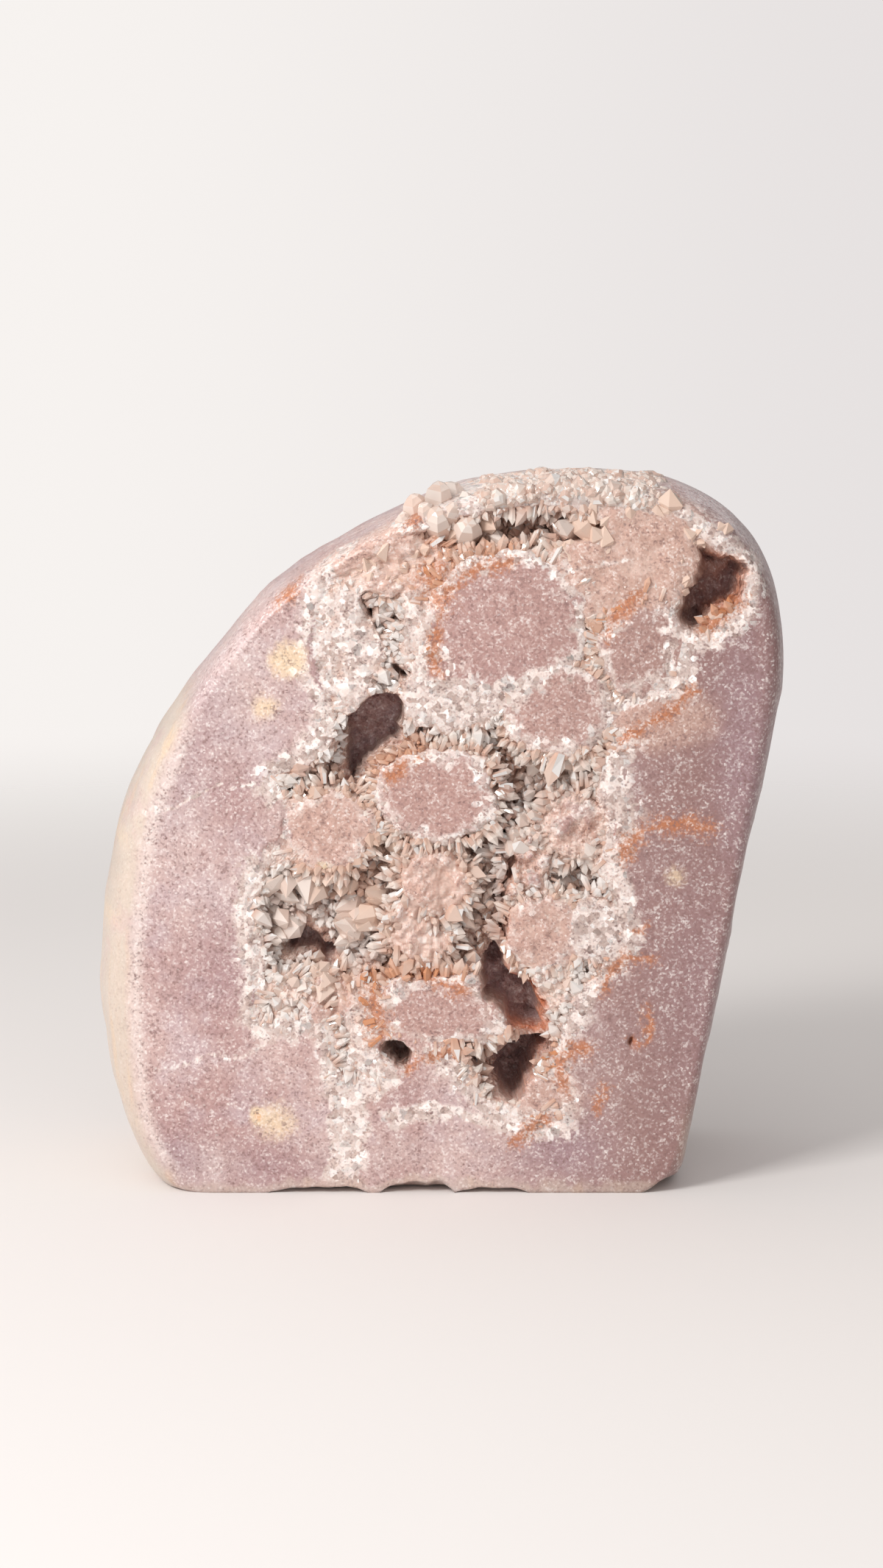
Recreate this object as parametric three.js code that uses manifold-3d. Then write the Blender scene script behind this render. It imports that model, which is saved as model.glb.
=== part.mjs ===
// A pink amethyst freeform: a thick slab of rosy quartz, cut flat at its foot so that it stands, with
// a ground and polished outside. Its front face runs through a cluster of round nodules, so that it
// shows them as flat discs, and through the open hollows between them, which quartz crystals line.
// Millimetres, +Z up, the front face looks along -Y, and the origin is at the middle of the foot.
import * as THREE from "three";
import { mergeVertices } from "three/addons/utils/BufferGeometryUtils.js";
import Module from "manifold-3d";

const wasm = await Module();
wasm.setup();

// The slab's driving sizes
const FRONT_DEPTH = 20; // from the middle plane to the rim of the front face
const BACK_DEPTH = 21; // from the middle plane to the rim of the back
const FRONT_CROWN = 1.5; // how far the middle of the front face stands proud of its rim
const BACK_CROWN = 2.5;
const RIM_POWER = 2.4; // 2 is a half-round edge, higher is squarer
const RIM_STEPS = 3; // on each side of the middle plane
const OUTLINE_STEPS = 76;
const FACE_RINGS = [0.78, 0.4]; // rings of a crowned face, as shares of its rim

// The widest outline, which lies in the middle plane, seen from the front, anticlockwise from the foot
const OUTLINE = [
  [-42.0, -1.6], [-33, -1.8], [-10, -1.8], [15, -1.8], [28, -1.8], [34.4, -1.2], [37.4, 1.4],
  [38.4, 6.0], [39.8, 12.5], [42.3, 25.7], [46.0, 44.7], [48.8, 58.8], [51.7, 72.8], [52.7, 81.5],
  [52.3, 88], [50.5, 95.0], [47.1, 101.1], [42.2, 105.4], [36.3, 108.2], [28.4, 109.7],
  [19.6, 110.0], [11.0, 109.4], [2.0, 107.6], [-7.2, 103.8], [-17.0, 98.8], [-26.4, 92.6],
  [-34.4, 84.0], [-40.2, 76.4], [-46.0, 67.2], [-50.4, 56.8], [-53.0, 43.2], [-54.0, 30.5],
  [-52.0, 17.0], [-49.0, 7.2], [-46.0, 1.2],
];

// The rim of the polished front face, in the same order
const FRONT_RIM = [
  [-34.5, -0.6], [-28, -1.2], [-10, -1.4], [12, -1.4], [24, -1.2], [30.6, 0.0], [34.6, 3.4],
  [36.2, 9.0], [37.8, 16.5], [39.8, 27.5], [42.8, 44.0], [45.1, 57.6], [47.3, 70.5], [48.5, 79.5], [48.3, 86],
  [46.8, 92.6], [43.4, 98.2], [38.8, 102.4], [33.4, 105.2], [26.4, 106.9], [18.8, 107.6], [10.6, 107.0],
  [2.6, 105.2], [-6.2, 101.8], [-15.2, 97.0], [-23.6, 91.0], [-30.6, 83.4], [-35.4, 76.2], [-40.4, 66.8],
  [-44.0, 57.0], [-46.0, 43.4], [-46.9, 31.0], [-46.2, 18.0], [-44.6, 9.2], [-40.6, 3.0],
];

// The rim of the back is the outline drawn in toward a place near the foot
const BACK_DRAW = { x: 0.85, z: 0.91, toward: [-2, 5] };

// The part of the front face that is broken down to the crystals, between the polished fields,
// clockwise as the hollows' outlines are
const DRUSE = [
  [-14.4, 97.8], [-9.0, 101.6], [-1.8, 104.4], [4.2, 106.0], [12.9, 107.0], [28.2, 106.4], [35.9, 104.0],
  [42.0, 99.8], [45.6, 96.4], [45.5, 92.0], [42.7, 87.9], [38.9, 85.5], [35.6, 85.7], [35.3, 79.0],
  [30.7, 76.8], [26.8, 75.1], [27.4, 70.1], [25.3, 65.6], [27.1, 57.8], [25.4, 52.7], [27.9, 44.2],
  [27.5, 38.0], [22.7, 32.8], [21.1, 28.3], [18.3, 26.0], [18.3, 22.0], [16.9, 16.8], [18.4, 11.6],
  [13.3, 11.0], [9.9, 12.7], [6.0, 14.5], [-0.2, 22.5], [-5.2, 24.8], [-8.6, 24.2], [-9.4, 17.6],
  [-15.6, 16.6], [-17.6, 22.5], [-18.6, 28.6], [-21.7, 26.4], [-28.8, 26.9], [-28.6, 33.4],
  [-30.1, 43.1], [-28.0, 52.1], [-24.2, 57.8], [-25.7, 64.5], [-19.0, 70.1], [-18.1, 79.0],
  [-19.8, 84.6], [-18.2, 93.4],
];
// Its wall goes down in a ledge
const DRUSE_STEPS = [{ inset: 0, depth: 2.2 }, { inset: 1.1, depth: 4.4 }];

// Round nodules that stand in the druse: centre, half sizes across and up, how deep their flat lies,
// and how many sides their outline has
const NODULES = {
  upper_rose: [9.7, 87.7, 9.8, 8.8, 0.25, 15],
  upper_white_left: [-4.4, 84.6, 3.4, 6.4, 0.5, 9],
  upper_white_shelf: [0.4, 75.6, 6.4, 3.2, 0.4, 9],
  middle_right: [17.8, 73.6, 7.6, 5.8, 0.8, 11],
  right_upper: [29.7, 84.0, 5.0, 6.4, 0.3, 11],
  centre: [0.6, 61.2, 8.6, 6.4, 0.5, 13],
  left_shelf: [-18.2, 57.0, 6.4, 5.4, 0.6, 11],
  right_pale: [19.4, 57.6, 5.4, 4.4, 1.0, 10],
  peach_column: [-0.4, 47.4, 5.6, 5.2, 1.2, 10],
  peach_ball: [14.6, 41.2, 4.0, 4.6, 0.8, 9],
  white_ball: [23.0, 41.0, 3.9, 4.2, 0.3, 9],
  lower_rose: [-0.6, 29.2, 9.0, 4.6, 0.4, 12],
  cream_saddle: [-11.4, 27.6, 3.6, 5.0, 0.6, 9],
  top_glassy: [25.4, 96.6, 8.2, 6.2, 1.0, 11],
  top_left_glassy: [-7.4, 96.4, 6.0, 4.4, 1.3, 10],
};
const NODULE_SPREAD = 1.25; // foot of a nodule over its flat
const NODULE_CHAMFER = 0.7;
const NODULE_WAVINESS = 0.07;

// Open hollows, as the outlines that stay open inside the crystal lining, and how deep they reach
const VUGS = {
  left_eye: { depth: 15, outline: [
    [-15.9, 73.2], [-13.7, 74.8], [-11.2, 77.1], [-8.7, 77.8], [-6.8, 77.8], [-6.3, 71.9], [-6.5, 70.0],
    [-8.9, 69.1], [-11.6, 66.9], [-14.8, 63.8], [-15.7, 66.4], [-14.6, 70.8]] },
  left_smoky: { depth: 8, outline: [
    [-13.4, 93.0], [-10.0, 93.4], [-8.6, 88.6], [-6.0, 82.0], [-8.4, 81.6], [-13.2, 88.0]] },
  top_trough: { depth: 11, outline: [
    [6.0, 102.8], [12.0, 104.4], [20.0, 104.2], [24.4, 103.0], [23.4, 100.6], [18.6, 98.6],
    [12.6, 99.0], [7.5, 100.4]] },
  right_eye: { depth: 14, outline: [
    [34.1, 94.9], [36.0, 97.4], [39.2, 98.6], [42.8, 97.6], [43.4, 94.0], [41.6, 90.5], [39.0, 88.2],
    [36.1, 88.4], [34.4, 91.8]] },
  left_bowl: { depth: 6.5, outline: [
    [-27.0, 43.0], [-26.0, 47.4], [-22.4, 49.6], [-17.6, 48.4], [-11.0, 53.4], [-7.4, 55.4], [-6.6, 50.4],
    [-8.6, 44.4], [-8.4, 39.4], [-12.4, 36.4], [-20.0, 35.8], [-25.8, 37.4]] },
  left_bowl_eye: { depth: 12, outline: [
    [-21.3, 43.1], [-18.7, 40.5], [-15.9, 37.9], [-17.1, 36.3], [-20.9, 36.6], [-24.3, 36.9],
    [-24.8, 38.2], [-21.9, 40.5]] },
  crevice: { depth: 7, outline: [
    [8.6, 66.4], [10.2, 66.4], [10.9, 57.8], [10.9, 48.8], [9.8, 39.7], [8.0, 39.7], [8.6, 48.8],
    [8.2, 57.8]] },
  cleft_upper: { depth: 14, outline: [
    [5.6, 37.3], [8.3, 40.0], [9.4, 37.9], [10.7, 35.6], [14.3, 31.7], [15.4, 28.6], [15.6, 25.4],
    [11.4, 26.6], [8.6, 29.0], [6.2, 32.3]] },
  cleft_lower: { depth: 15, outline: [
    [10.6, 24.0], [15.9, 23.6], [14.1, 19.8], [12.7, 15.4], [10.1, 14.2], [8.3, 16.4], [7.5, 20.6]] },
};
const VUG_NARROWING = 0.62; // bottom of a hollow over its mouth
// The small round hole under the cream saddle
const PINHOLE = { x: -6.8, z: 21.5, radius: 1.7, depth: 9, narrowing: 0.7 };
const FOOT_CHIPS = [[-19, 4.6, 1.3], [-6.2, 4.2, 1.8], [6.8, 3.0, 1.1]]; // x, half length, height
const FOOT_CHIP_REACH = 4.5; // how far a chip goes in from the front of the foot
const CUTTER_LEAD = 12; // how far before the front face a cutter starts

// The crystal lining
const FIT_GAP = 0.35; // between the lining and the stone
const LINING_THICKNESS = 1.2;
const LINING_SINK = 0.3; // how far its polished rims lie under the flats beside them
const LINING_REACH = 6; // how deep it follows the druse

// The crystals on the lining
const CRYSTAL_SPACING = 5.5;
const CRYSTAL_SCATTER = 0.6; // how far a root strays, as a share of the spacing
const FIELD_ROWS = 23; // from the foot up, a little past the top
const FIELD_HALF_COLUMNS = 12; // to each side of the middle
const CRYSTAL_RADIUS = 2.5;
const CRYSTAL_VARIETY = 0.28; // how much sizes differ, as a share
const CRYSTAL_SLENDERNESS = 1.85; // length over radius
const CRYSTAL_LEAN = 0.55; // away from the nearest nodule
const CRYSTAL_WANDER = 0.5; // how much directions differ
const CRYSTAL_ROOT = 3.9; // how deep its root lies under the polish
const CRYSTAL_MARGIN = 1.3; // from the druse's edge to a root
const TIP_HEIGHT = 1.1; // of a crystal's point, over its radius
const DEEPEST_BED = 7; // hollows deeper than this carry no crystals on their floor
const NODULE_CLEARANCE = 1.08; // how near a root comes to a nodule, over the nodule's size

// Single large crystals: root, direction, radius, length
const LARGE_CRYSTALS = [
  { root: [-1.8, -15, 102.4], toward: [0.1, -0.55, 1], radius: 3.0, length: 7.4 },
  { root: [2.0, -15, 103.2], toward: [0.5, -0.5, 1], radius: 2.5, length: 6.0 },
  { root: [-5.0, -15, 101.0], toward: [-0.4, -0.6, 1], radius: 2.3, length: 5.4 },
  { root: [19.2, -16, 100.6], toward: [-0.35, -0.9, 0.6], radius: 2.4, length: 6.4 },
  { root: [-20.6, -16, 50.6], toward: [0.1, -0.9, -1], radius: 3.0, length: 8.0 },
  { root: [-12.4, -15, 43.6], toward: [-0.8, -1, 0.2], radius: 2.8, length: 7.0 },
  { root: [-13.6, -15, 40.6], toward: [-1, -1, -0.3], radius: 2.6, length: 6.6 },
  { root: [-24.6, -15, 40.8], toward: [0.6, -1, 0.2], radius: 2.6, length: 6.6 },
  { root: [-21.6, -15, 34.6], toward: [0.4, -1, 0.7], radius: 2.5, length: 6.4 },
  { root: [16.4, -16, 34.4], toward: [-0.2, -1, 0.5], radius: 2.6, length: 6.4 },
];
const CHANCE_SEED = 11;

const STONE_COLOUR = 0xc9adab;
const CRYSTAL_COLOUR = 0xe2d5cd;

// A closed geometry as a solid that can be joined and cut
function solidOf(geometry) {
  const plain = geometry.index ? geometry.toNonIndexed() : geometry.clone();
  const merged = mergeVertices(
    new THREE.BufferGeometry().setAttribute("position", plain.getAttribute("position")), 1e-4);
  const corners = merged.index.array;
  const kept = [];
  for (let i = 0; i < corners.length; i += 3) {
    const [a, b, c] = corners.slice(i, i + 3);
    if (a !== b && b !== c && c !== a) kept.push(a, b, c);
  }
  return new wasm.Manifold(new wasm.Mesh({
    numProp: 3,
    vertProperties: new Float32Array(merged.attributes.position.array),
    triVerts: new Uint32Array(kept),
  }));
}

// A solid as the geometry of a mesh
function geometryOf(solid) {
  const mesh = solid.getMesh();
  const places = new Float32Array(mesh.numVert * 3);
  for (let i = 0; i < mesh.numVert; i++)
    places.set(mesh.vertProperties.subarray(i * mesh.numProp, i * mesh.numProp + 3), i * 3);
  return new THREE.BufferGeometry()
    .setAttribute("position", new THREE.BufferAttribute(places, 3))
    .setIndex(new THREE.BufferAttribute(new Uint32Array(mesh.triVerts), 1));
}

// The same chance numbers on every run, from 0 to 1
function chanceFrom(seed) {
  let state = seed;
  return () => {
    state = (state * 1664525 + 1013904223) % 4294967296;
    return state / 4294967296;
  };
}

// A smooth closed outline through the given points, as evenly spaced places
function ringThrough(outline) {
  const points = outline.map(([x, z]) => new THREE.Vector3(x, 0, z));
  const places = new THREE.CatmullRomCurve3(points, true, "centripetal").getSpacedPoints(OUTLINE_STEPS);
  return places.slice(0, OUTLINE_STEPS).map((place) => new THREE.Vector2(place.x, place.z));
}

// A ring moved out along its own normal
function spreadRing(ring, spread) {
  return ring.map((place, i) => {
    const before = ring[(i + ring.length - 1) % ring.length];
    const after = ring[(i + 1) % ring.length];
    const out = new THREE.Vector2(after.y - before.y, before.x - after.x).normalize();
    return place.clone().addScaledVector(out, spread);
  });
}

// The places of one ring drawn toward those of another
const between = (ring, other, share) => ring.map((place, i) => place.clone().lerp(other[i], share));

// A clockwise outline as an anticlockwise ring
const ringOf = (outline) => [...outline].reverse().map(([x, z]) => new THREE.Vector2(x, z));

// Closed rings of places, each at its own depth, joined from the first to the last and capped
function solidOfRings(rings, nearTip, farTip) {
  const count = rings[0].places.length;
  const points = rings.flatMap((ring) => ring.places.map((place) => [place.x, ring.y, place.y]));
  const near = points.push(nearTip) - 1;
  const far = points.push(farTip) - 1;
  const triangles = [];
  for (let i = 0; i < count; i++) {
    const j = (i + 1) % count;
    triangles.push([near, i, j]);
    for (let ring = 0; ring < rings.length - 1; ring++) {
      const here = ring * count;
      triangles.push([here + i, here + count + i, here + count + j], [here + i, here + count + j, here + j]);
    }
    const last = (rings.length - 1) * count;
    triangles.push([last + i, far, last + j]);
  }
  return solidOf(new THREE.BufferGeometry()
    .setAttribute("position", new THREE.Float32BufferAttribute(points.flat(), 3))
    .setIndex(triangles.flat()));
}

const centreOf = (ring) =>
  ring.reduce((sum, place) => sum.add(place), new THREE.Vector2()).divideScalar(ring.length);

// How far a crowned face stands proud of its rim, at a share of the way from its middle to its rim
const crownAt = (crown, share) => crown * (1 - share ** 2.5);

// The uncut slab, grown sideways and at the front
function slab(grow) {
  const outline = spreadRing(ringThrough(OUTLINE), grow.side);
  const frontRim = spreadRing(ringThrough(FRONT_RIM), grow.side);
  const [towardX, towardZ] = BACK_DRAW.toward;
  const backRim = spreadRing(ringThrough(OUTLINE.map(([x, z]) => [
    towardX + (x - towardX) * BACK_DRAW.x, towardZ + (z - towardZ) * BACK_DRAW.z])), grow.side);
  const face = FRONT_DEPTH + grow.face;
  const frontMiddle = centreOf(frontRim);
  const backMiddle = centreOf(backRim);
  const aroundEdge = (rim, depth) => Array.from({ length: RIM_STEPS + 1 }, (_, step) => {
    const angle = (step / RIM_STEPS) * (Math.PI / 2);
    return {
      places: between(rim, outline, Math.sin(angle) ** (2 / RIM_POWER)),
      y: depth * Math.max(0, Math.cos(angle)) ** (2 / RIM_POWER),
    };
  });
  const acrossFace = (rim, middle, depth, crown) => FACE_RINGS.map((share) => ({
    places: rim.map((place) => place.clone().lerp(middle, 1 - share)),
    y: depth + crownAt(crown, share),
  }));
  const rings = [
    ...acrossFace(frontRim, frontMiddle, -face, -FRONT_CROWN).reverse(),
    ...aroundEdge(frontRim, -face),
    ...aroundEdge(backRim, BACK_DEPTH).reverse().slice(1),
    ...acrossFace(backRim, backMiddle, BACK_DEPTH, BACK_CROWN),
  ];
  return solidOfRings(
    rings,
    [frontMiddle.x, -face - FRONT_CROWN, frontMiddle.y],
    [backMiddle.x, BACK_DEPTH + BACK_CROWN, backMiddle.y]);
}

const POLISH = -FRONT_DEPTH - FRONT_CROWN; // where the middle of the front face lies
const IN_FRONT = POLISH - CUTTER_LEAD;

// A prism along Y over a clockwise outline, from one depth to another, spread to all sides and narrowed
function prism(outline, spread, near, far, narrowing) {
  const ring = spreadRing(ringOf(outline), spread);
  const middle = centreOf(ring);
  const corners = ring.map((place) => new THREE.Vector2(place.x - middle.x, middle.y - place.y));
  const extrusion = { depth: far - near, bevelEnabled: false };
  const geometry = new THREE.ExtrudeGeometry(new THREE.Shape(corners), extrusion);
  const places = geometry.attributes.position;
  for (let i = 0; i < places.count; i++) {
    const scale = 1 - ((1 - narrowing) * places.getZ(i)) / (far - near);
    places.setXY(i, places.getX(i) * scale, places.getY(i) * scale);
  }
  return solidOf(geometry.rotateX(-Math.PI / 2).translate(middle.x, near, middle.y));
}

// A nodule: a wavy round stump with a flat top and a chamfer
function nodule([x, z, across, up, sink, sides], grow, chance) {
  const phase = chance() * Math.PI * 2;
  const outline = (share) => Array.from({ length: sides }, (_, i) => {
    const angle = (i / sides) * Math.PI * 2;
    const waves = Math.sin(3 * angle + phase) + Math.sin(5 * angle + 2 * phase) / 2;
    const wave = 1 + NODULE_WAVINESS * waves;
    return new THREE.Vector2(
      x + (across * share * wave + grow.side) * Math.cos(angle),
      z + (up * share * wave + grow.side) * Math.sin(angle));
  });
  const top = POLISH + sink - grow.face;
  const floor = POLISH + DRUSE_STEPS[1].depth + 1;
  return solidOfRings(
    [
      { places: outline(1 - NODULE_CHAMFER / across), y: top },
      { places: outline(1), y: top + NODULE_CHAMFER * 0.7 },
      { places: outline(NODULE_SPREAD), y: floor },
    ],
    [x, top, z],
    [x, floor, z]);
}

// The small round hole
function pinhole() {
  const { x, z, radius, depth, narrowing } = PINHOLE;
  const length = POLISH + depth - IN_FRONT;
  const bore = new THREE.CylinderGeometry(radius * narrowing, radius, length, 8);
  return solidOf(bore.translate(x, IN_FRONT + length / 2, z));
}

// A shallow arch broken out of the front edge of the foot
function footChip([x, halfLength, height]) {
  const arch = [
    [x - halfLength, -1],
    [x - halfLength * 0.5, height * 0.8],
    [x + halfLength * 0.2, height],
    [x + halfLength, -1],
  ];
  return prism(arch, 0, IN_FRONT, POLISH + FOOT_CHIP_REACH, 0.7);
}

// Everything over the foot's plane
function aboveFoot() {
  const size = 10 * FRONT_DEPTH;
  return solidOf(new THREE.BoxGeometry(size, size, size).translate(0, 0, size / 2));
}

// The stone, or a copy of it that is grown sideways, toward the front and up from the hollows' floors
function stoneSolid(grow) {
  const chance = chanceFrom(CHANCE_SEED);
  let solid = slab(grow);
  for (const { inset, depth } of DRUSE_STEPS)
    solid = solid.subtract(prism(DRUSE, -inset - grow.side, IN_FRONT, POLISH + depth - grow.floor, 1));
  solid = wasm.Manifold.union([solid, ...Object.values(NODULES).map((each) => nodule(each, grow, chance))]);
  const room = FIT_GAP + LINING_THICKNESS - grow.side;
  const cutters = Object.values(VUGS).map(({ outline, depth }) =>
    prism(outline, room, IN_FRONT, POLISH + depth - grow.floor, VUG_NARROWING));
  return solid.subtract(wasm.Manifold.union(cutters));
}

// One quartz crystal, standing on the origin along +Y: a six-sided column with a point
function crystal(radius, length) {
  const shoulder = length - radius * TIP_HEIGHT;
  const profile = [[0, 0], [radius, 0], [radius * 0.9, shoulder], [0, length]];
  return solidOf(new THREE.LatheGeometry(profile.map(([r, h]) => new THREE.Vector2(r, h)), 6));
}

// A crystal with its root at a place, pointing a given way
function placedCrystal(root, toward, radius, length, turn) {
  const upright = new THREE.Vector3(0, 1, 0);
  const pose = new THREE.Quaternion().setFromUnitVectors(upright, new THREE.Vector3(...toward).normalize())
    .multiply(new THREE.Quaternion().setFromAxisAngle(upright, turn));
  return crystal(radius, length).transform(
    new THREE.Matrix4().compose(new THREE.Vector3(...root), pose, new THREE.Vector3(1, 1, 1)).elements);
}

// Whether a place lies inside a closed outline
function isInside(x, z, ring) {
  let inside = false;
  ring.forEach((a, i) => {
    const b = ring[(i + 1) % ring.length];
    if (a.y > z !== b.y > z && x < a.x + ((z - a.y) * (b.x - a.x)) / (b.y - a.y)) inside = !inside;
  });
  return inside;
}

// Which way the nearest nodule lies behind a place, and how far away it is, over the nodule's size
function nearestNodule(x, z) {
  const seen = Object.values(NODULES).map(([middleX, middleZ, across, up]) => {
    const away = [(x - middleX) / across, (z - middleZ) / up];
    return { away, reach: Math.hypot(...away) };
  });
  return seen.sort((a, b) => a.reach - b.reach)[0];
}

// A field of crystals over the whole druse, each leaning away from the nearest nodule
function crystalField(chance) {
  const crystals = [];
  const bed = spreadRing(ringOf(DRUSE), -CRYSTAL_MARGIN);
  const rowHeight = CRYSTAL_SPACING * Math.sin(Math.PI / 3);
  const varied = (size) => size * (1 + CRYSTAL_VARIETY * (2 * chance() - 1));
  for (let row = 0; row <= FIELD_ROWS; row++)
    for (let column = -FIELD_HALF_COLUMNS; column < FIELD_HALF_COLUMNS; column++) {
      const x = (column + (row % 2) / 2 + CRYSTAL_SCATTER * (chance() - 0.5)) * CRYSTAL_SPACING;
      const z = (row + CRYSTAL_SCATTER * (chance() - 0.5)) * rowHeight;
      const radius = varied(CRYSTAL_RADIUS);
      const length = varied(radius * CRYSTAL_SLENDERNESS);
      const wander = [chance() - 0.5, chance() - 0.5].map((share) => share * CRYSTAL_WANDER);
      const turn = chance() * Math.PI;
      const hollow = Object.values(VUGS).find(({ outline }) => isInside(x, z, ringOf(outline)));
      if (!isInside(x, z, bed) || (hollow && hollow.depth > DEEPEST_BED)) continue;
      const { away, reach } = nearestNodule(x, z);
      if (reach < NODULE_CLEARANCE) continue;
      const lean = CRYSTAL_LEAN / reach ** 2;
      const root = [x, POLISH + (hollow ? hollow.depth - 1 : CRYSTAL_ROOT), z];
      const toward = [away[0] * lean + wander[0], -1, away[1] * lean + wander[1]];
      crystals.push(placedCrystal(root, toward, radius, length, turn));
    }
  return crystals;
}

// The lining: a crust over the hollows' floors and walls with crystals on it, clear of the stone
function crustSolid() {
  const chance = chanceFrom(CHANCE_SEED + 1);
  const keepOut = stoneSolid({ side: FIT_GAP, face: FIT_GAP, floor: FIT_GAP });
  const thick = FIT_GAP + LINING_THICKNESS;
  const filled = stoneSolid({ side: thick, face: -LINING_SINK, floor: thick });
  const hollows = wasm.Manifold.union([
    prism(DRUSE, 0, IN_FRONT, POLISH + LINING_REACH, 1),
    ...Object.values(VUGS).map(({ outline, depth }) =>
      prism(outline, FIT_GAP + LINING_THICKNESS, IN_FRONT, POLISH + depth, VUG_NARROWING)),
  ]);
  const crystals = crystalField(chance);
  for (const { root, toward, radius, length } of LARGE_CRYSTALS)
    crystals.push(placedCrystal(root, toward, radius, length, chance() * Math.PI));
  return wasm.Manifold.union([filled.intersect(hollows), ...crystals]).subtract(keepOut);
}

// The largest body of a solid
function mainBody(solid) {
  return solid.decompose().sort((a, b) => b.volume() - a.volume())[0];
}

// The stone's open details that the lining doesn't reach
const details = wasm.Manifold.union([pinhole(), ...FOOT_CHIPS.map(footChip)]);
const stone = mainBody(stoneSolid({ side: 0, face: 0, floor: 0 }).subtract(details).intersect(aboveFoot()));
const crust = mainBody(crustSolid());

// The origin goes to the middle of the foot of both together
const stoneBox = stone.boundingBox();
const crustBox = crust.boundingBox();
const middleOf = (axis) => (
  Math.min(stoneBox.min[axis], crustBox.min[axis]) + Math.max(stoneBox.max[axis], crustBox.max[axis])) / 2;
const home = [-middleOf(0), -middleOf(1), 0];

// A solid as a named mesh
function meshOf(name, solid, colour, roughness) {
  const material = new THREE.MeshStandardMaterial({ color: colour, roughness, metalness: 0 });
  const mesh = new THREE.Mesh(geometryOf(solid.translate(home)), material);
  mesh.name = name;
  return mesh;
}

const group = new THREE.Group();
group.add(meshOf("stone", stone, STONE_COLOUR, 0.42));
group.add(meshOf("crystal_crust", crust, CRYSTAL_COLOUR, 0.15));

export default group;
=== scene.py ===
# A pink amethyst freeform: a thick slab of rosy quartz, cut flat at its foot, ground and polished
# outside. Its front shows round nodules as flat discs, with hollows full of quartz crystals between.
# Sizes are in millimetres from the middle of the foot, and each mesh is put into metres at its end.
import math

import bpy
import numpy as np
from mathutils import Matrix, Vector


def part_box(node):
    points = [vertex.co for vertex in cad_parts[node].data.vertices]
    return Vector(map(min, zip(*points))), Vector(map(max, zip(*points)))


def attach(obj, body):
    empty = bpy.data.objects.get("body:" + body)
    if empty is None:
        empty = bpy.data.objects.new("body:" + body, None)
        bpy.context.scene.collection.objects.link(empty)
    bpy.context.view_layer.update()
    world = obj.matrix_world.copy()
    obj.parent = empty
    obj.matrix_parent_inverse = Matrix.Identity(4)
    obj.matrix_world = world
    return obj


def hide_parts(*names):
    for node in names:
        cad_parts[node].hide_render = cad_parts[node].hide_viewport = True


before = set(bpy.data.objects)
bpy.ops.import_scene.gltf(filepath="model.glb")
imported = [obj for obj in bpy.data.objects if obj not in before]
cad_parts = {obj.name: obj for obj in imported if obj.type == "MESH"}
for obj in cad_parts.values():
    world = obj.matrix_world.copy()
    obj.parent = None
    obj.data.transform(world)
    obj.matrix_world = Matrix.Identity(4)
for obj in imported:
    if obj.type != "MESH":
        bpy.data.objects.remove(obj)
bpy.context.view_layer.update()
MILLIMETRE = 0.001


# The camera
# It stands square to the front face, a little over half a metre away, and looks slightly down.
CAMERA_DISTANCE = 0.540
CAMERA_ELEVATION = math.radians(9)
CAMERA_AIM = (0.00045, 0.0004, 0.0605)
CAMERA_LENS = 79.06

camera_data = bpy.data.cameras.new("camera")
camera_data.lens = CAMERA_LENS
camera_data.clip_start = 0.01
camera = bpy.data.objects.new("camera", camera_data)
camera.rotation_euler = (math.pi / 2 - CAMERA_ELEVATION, 0, 0)
camera.location = (
    CAMERA_AIM[0],
    CAMERA_AIM[1] - CAMERA_DISTANCE * math.cos(CAMERA_ELEVATION),
    CAMERA_AIM[2] + CAMERA_DISTANCE * math.sin(CAMERA_ELEVATION),
)
bpy.context.collection.objects.link(camera)
bpy.context.scene.camera = camera
bpy.context.scene.view_settings.view_transform = "Standard"


# The floor
# A sheet of matt white board. It thins out far from the stone, so that no horizon shows.
FLOOR_RADIUS = 1.5
FLOOR_SIDES = 96
FLOOR_FADE = (0.20, 0.50)
FLOOR_COLOUR = (0.83, 0.80, 0.785, 1)


def give(socket, value):
    """Sets an input of a node: another socket is joined to it, and anything else is its value."""
    if isinstance(value, bpy.types.NodeSocket):
        socket.id_data.links.new(value, socket)
    else:
        socket.default_value = value


def put(node, **values):
    """Sets a node's inputs by name."""
    for name, value in values.items():
        give(node.inputs[name.replace("_", " ")], value)
    return node


def added(tree, kind, settings=None, **values):
    """A new node of a kind, with its settings and inputs."""
    node = tree.nodes.new(kind)
    for name, value in (settings or {}).items():
        setattr(node, name, value)
    return put(node, **values)


def ranged(tree, value, low, high, to_low=0.0, to_high=1.0):
    """Value carried smoothly from one range to another, and held at its ends."""
    node = added(tree, "ShaderNodeMapRange", {"interpolation_type": "SMOOTHSTEP"}, Value=value)
    put(node, From_Min=low, From_Max=high, To_Min=to_low, To_Max=to_high)
    return node.outputs["Result"]


def worked(tree, operation, *values):
    """A sum in the shader, such as MULTIPLY or MULTIPLY_ADD."""
    node = added(tree, "ShaderNodeMath", {"operation": operation})
    for socket, value in zip(node.inputs, values):
        give(socket, value)
    return node.outputs[0]


def worked_vector(tree, operation, *values):
    """A sum with vectors. LENGTH and DOT_PRODUCT give a number, and the others a vector."""
    node = added(tree, "ShaderNodeVectorMath", {"operation": operation})
    for socket, value in zip(node.inputs, values):
        give(socket, value)
    return node.outputs["Value" if operation in ("LENGTH", "DOT_PRODUCT") else "Vector"]


def mixed(tree, factor, first, second):
    """One colour over another, by a factor."""
    node = added(tree, "ShaderNodeMix", {"data_type": "RGBA"})
    for number, value in ((0, factor), (6, first), (7, second)):
        give(node.inputs[number], value)
    return node.outputs[2]


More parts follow.
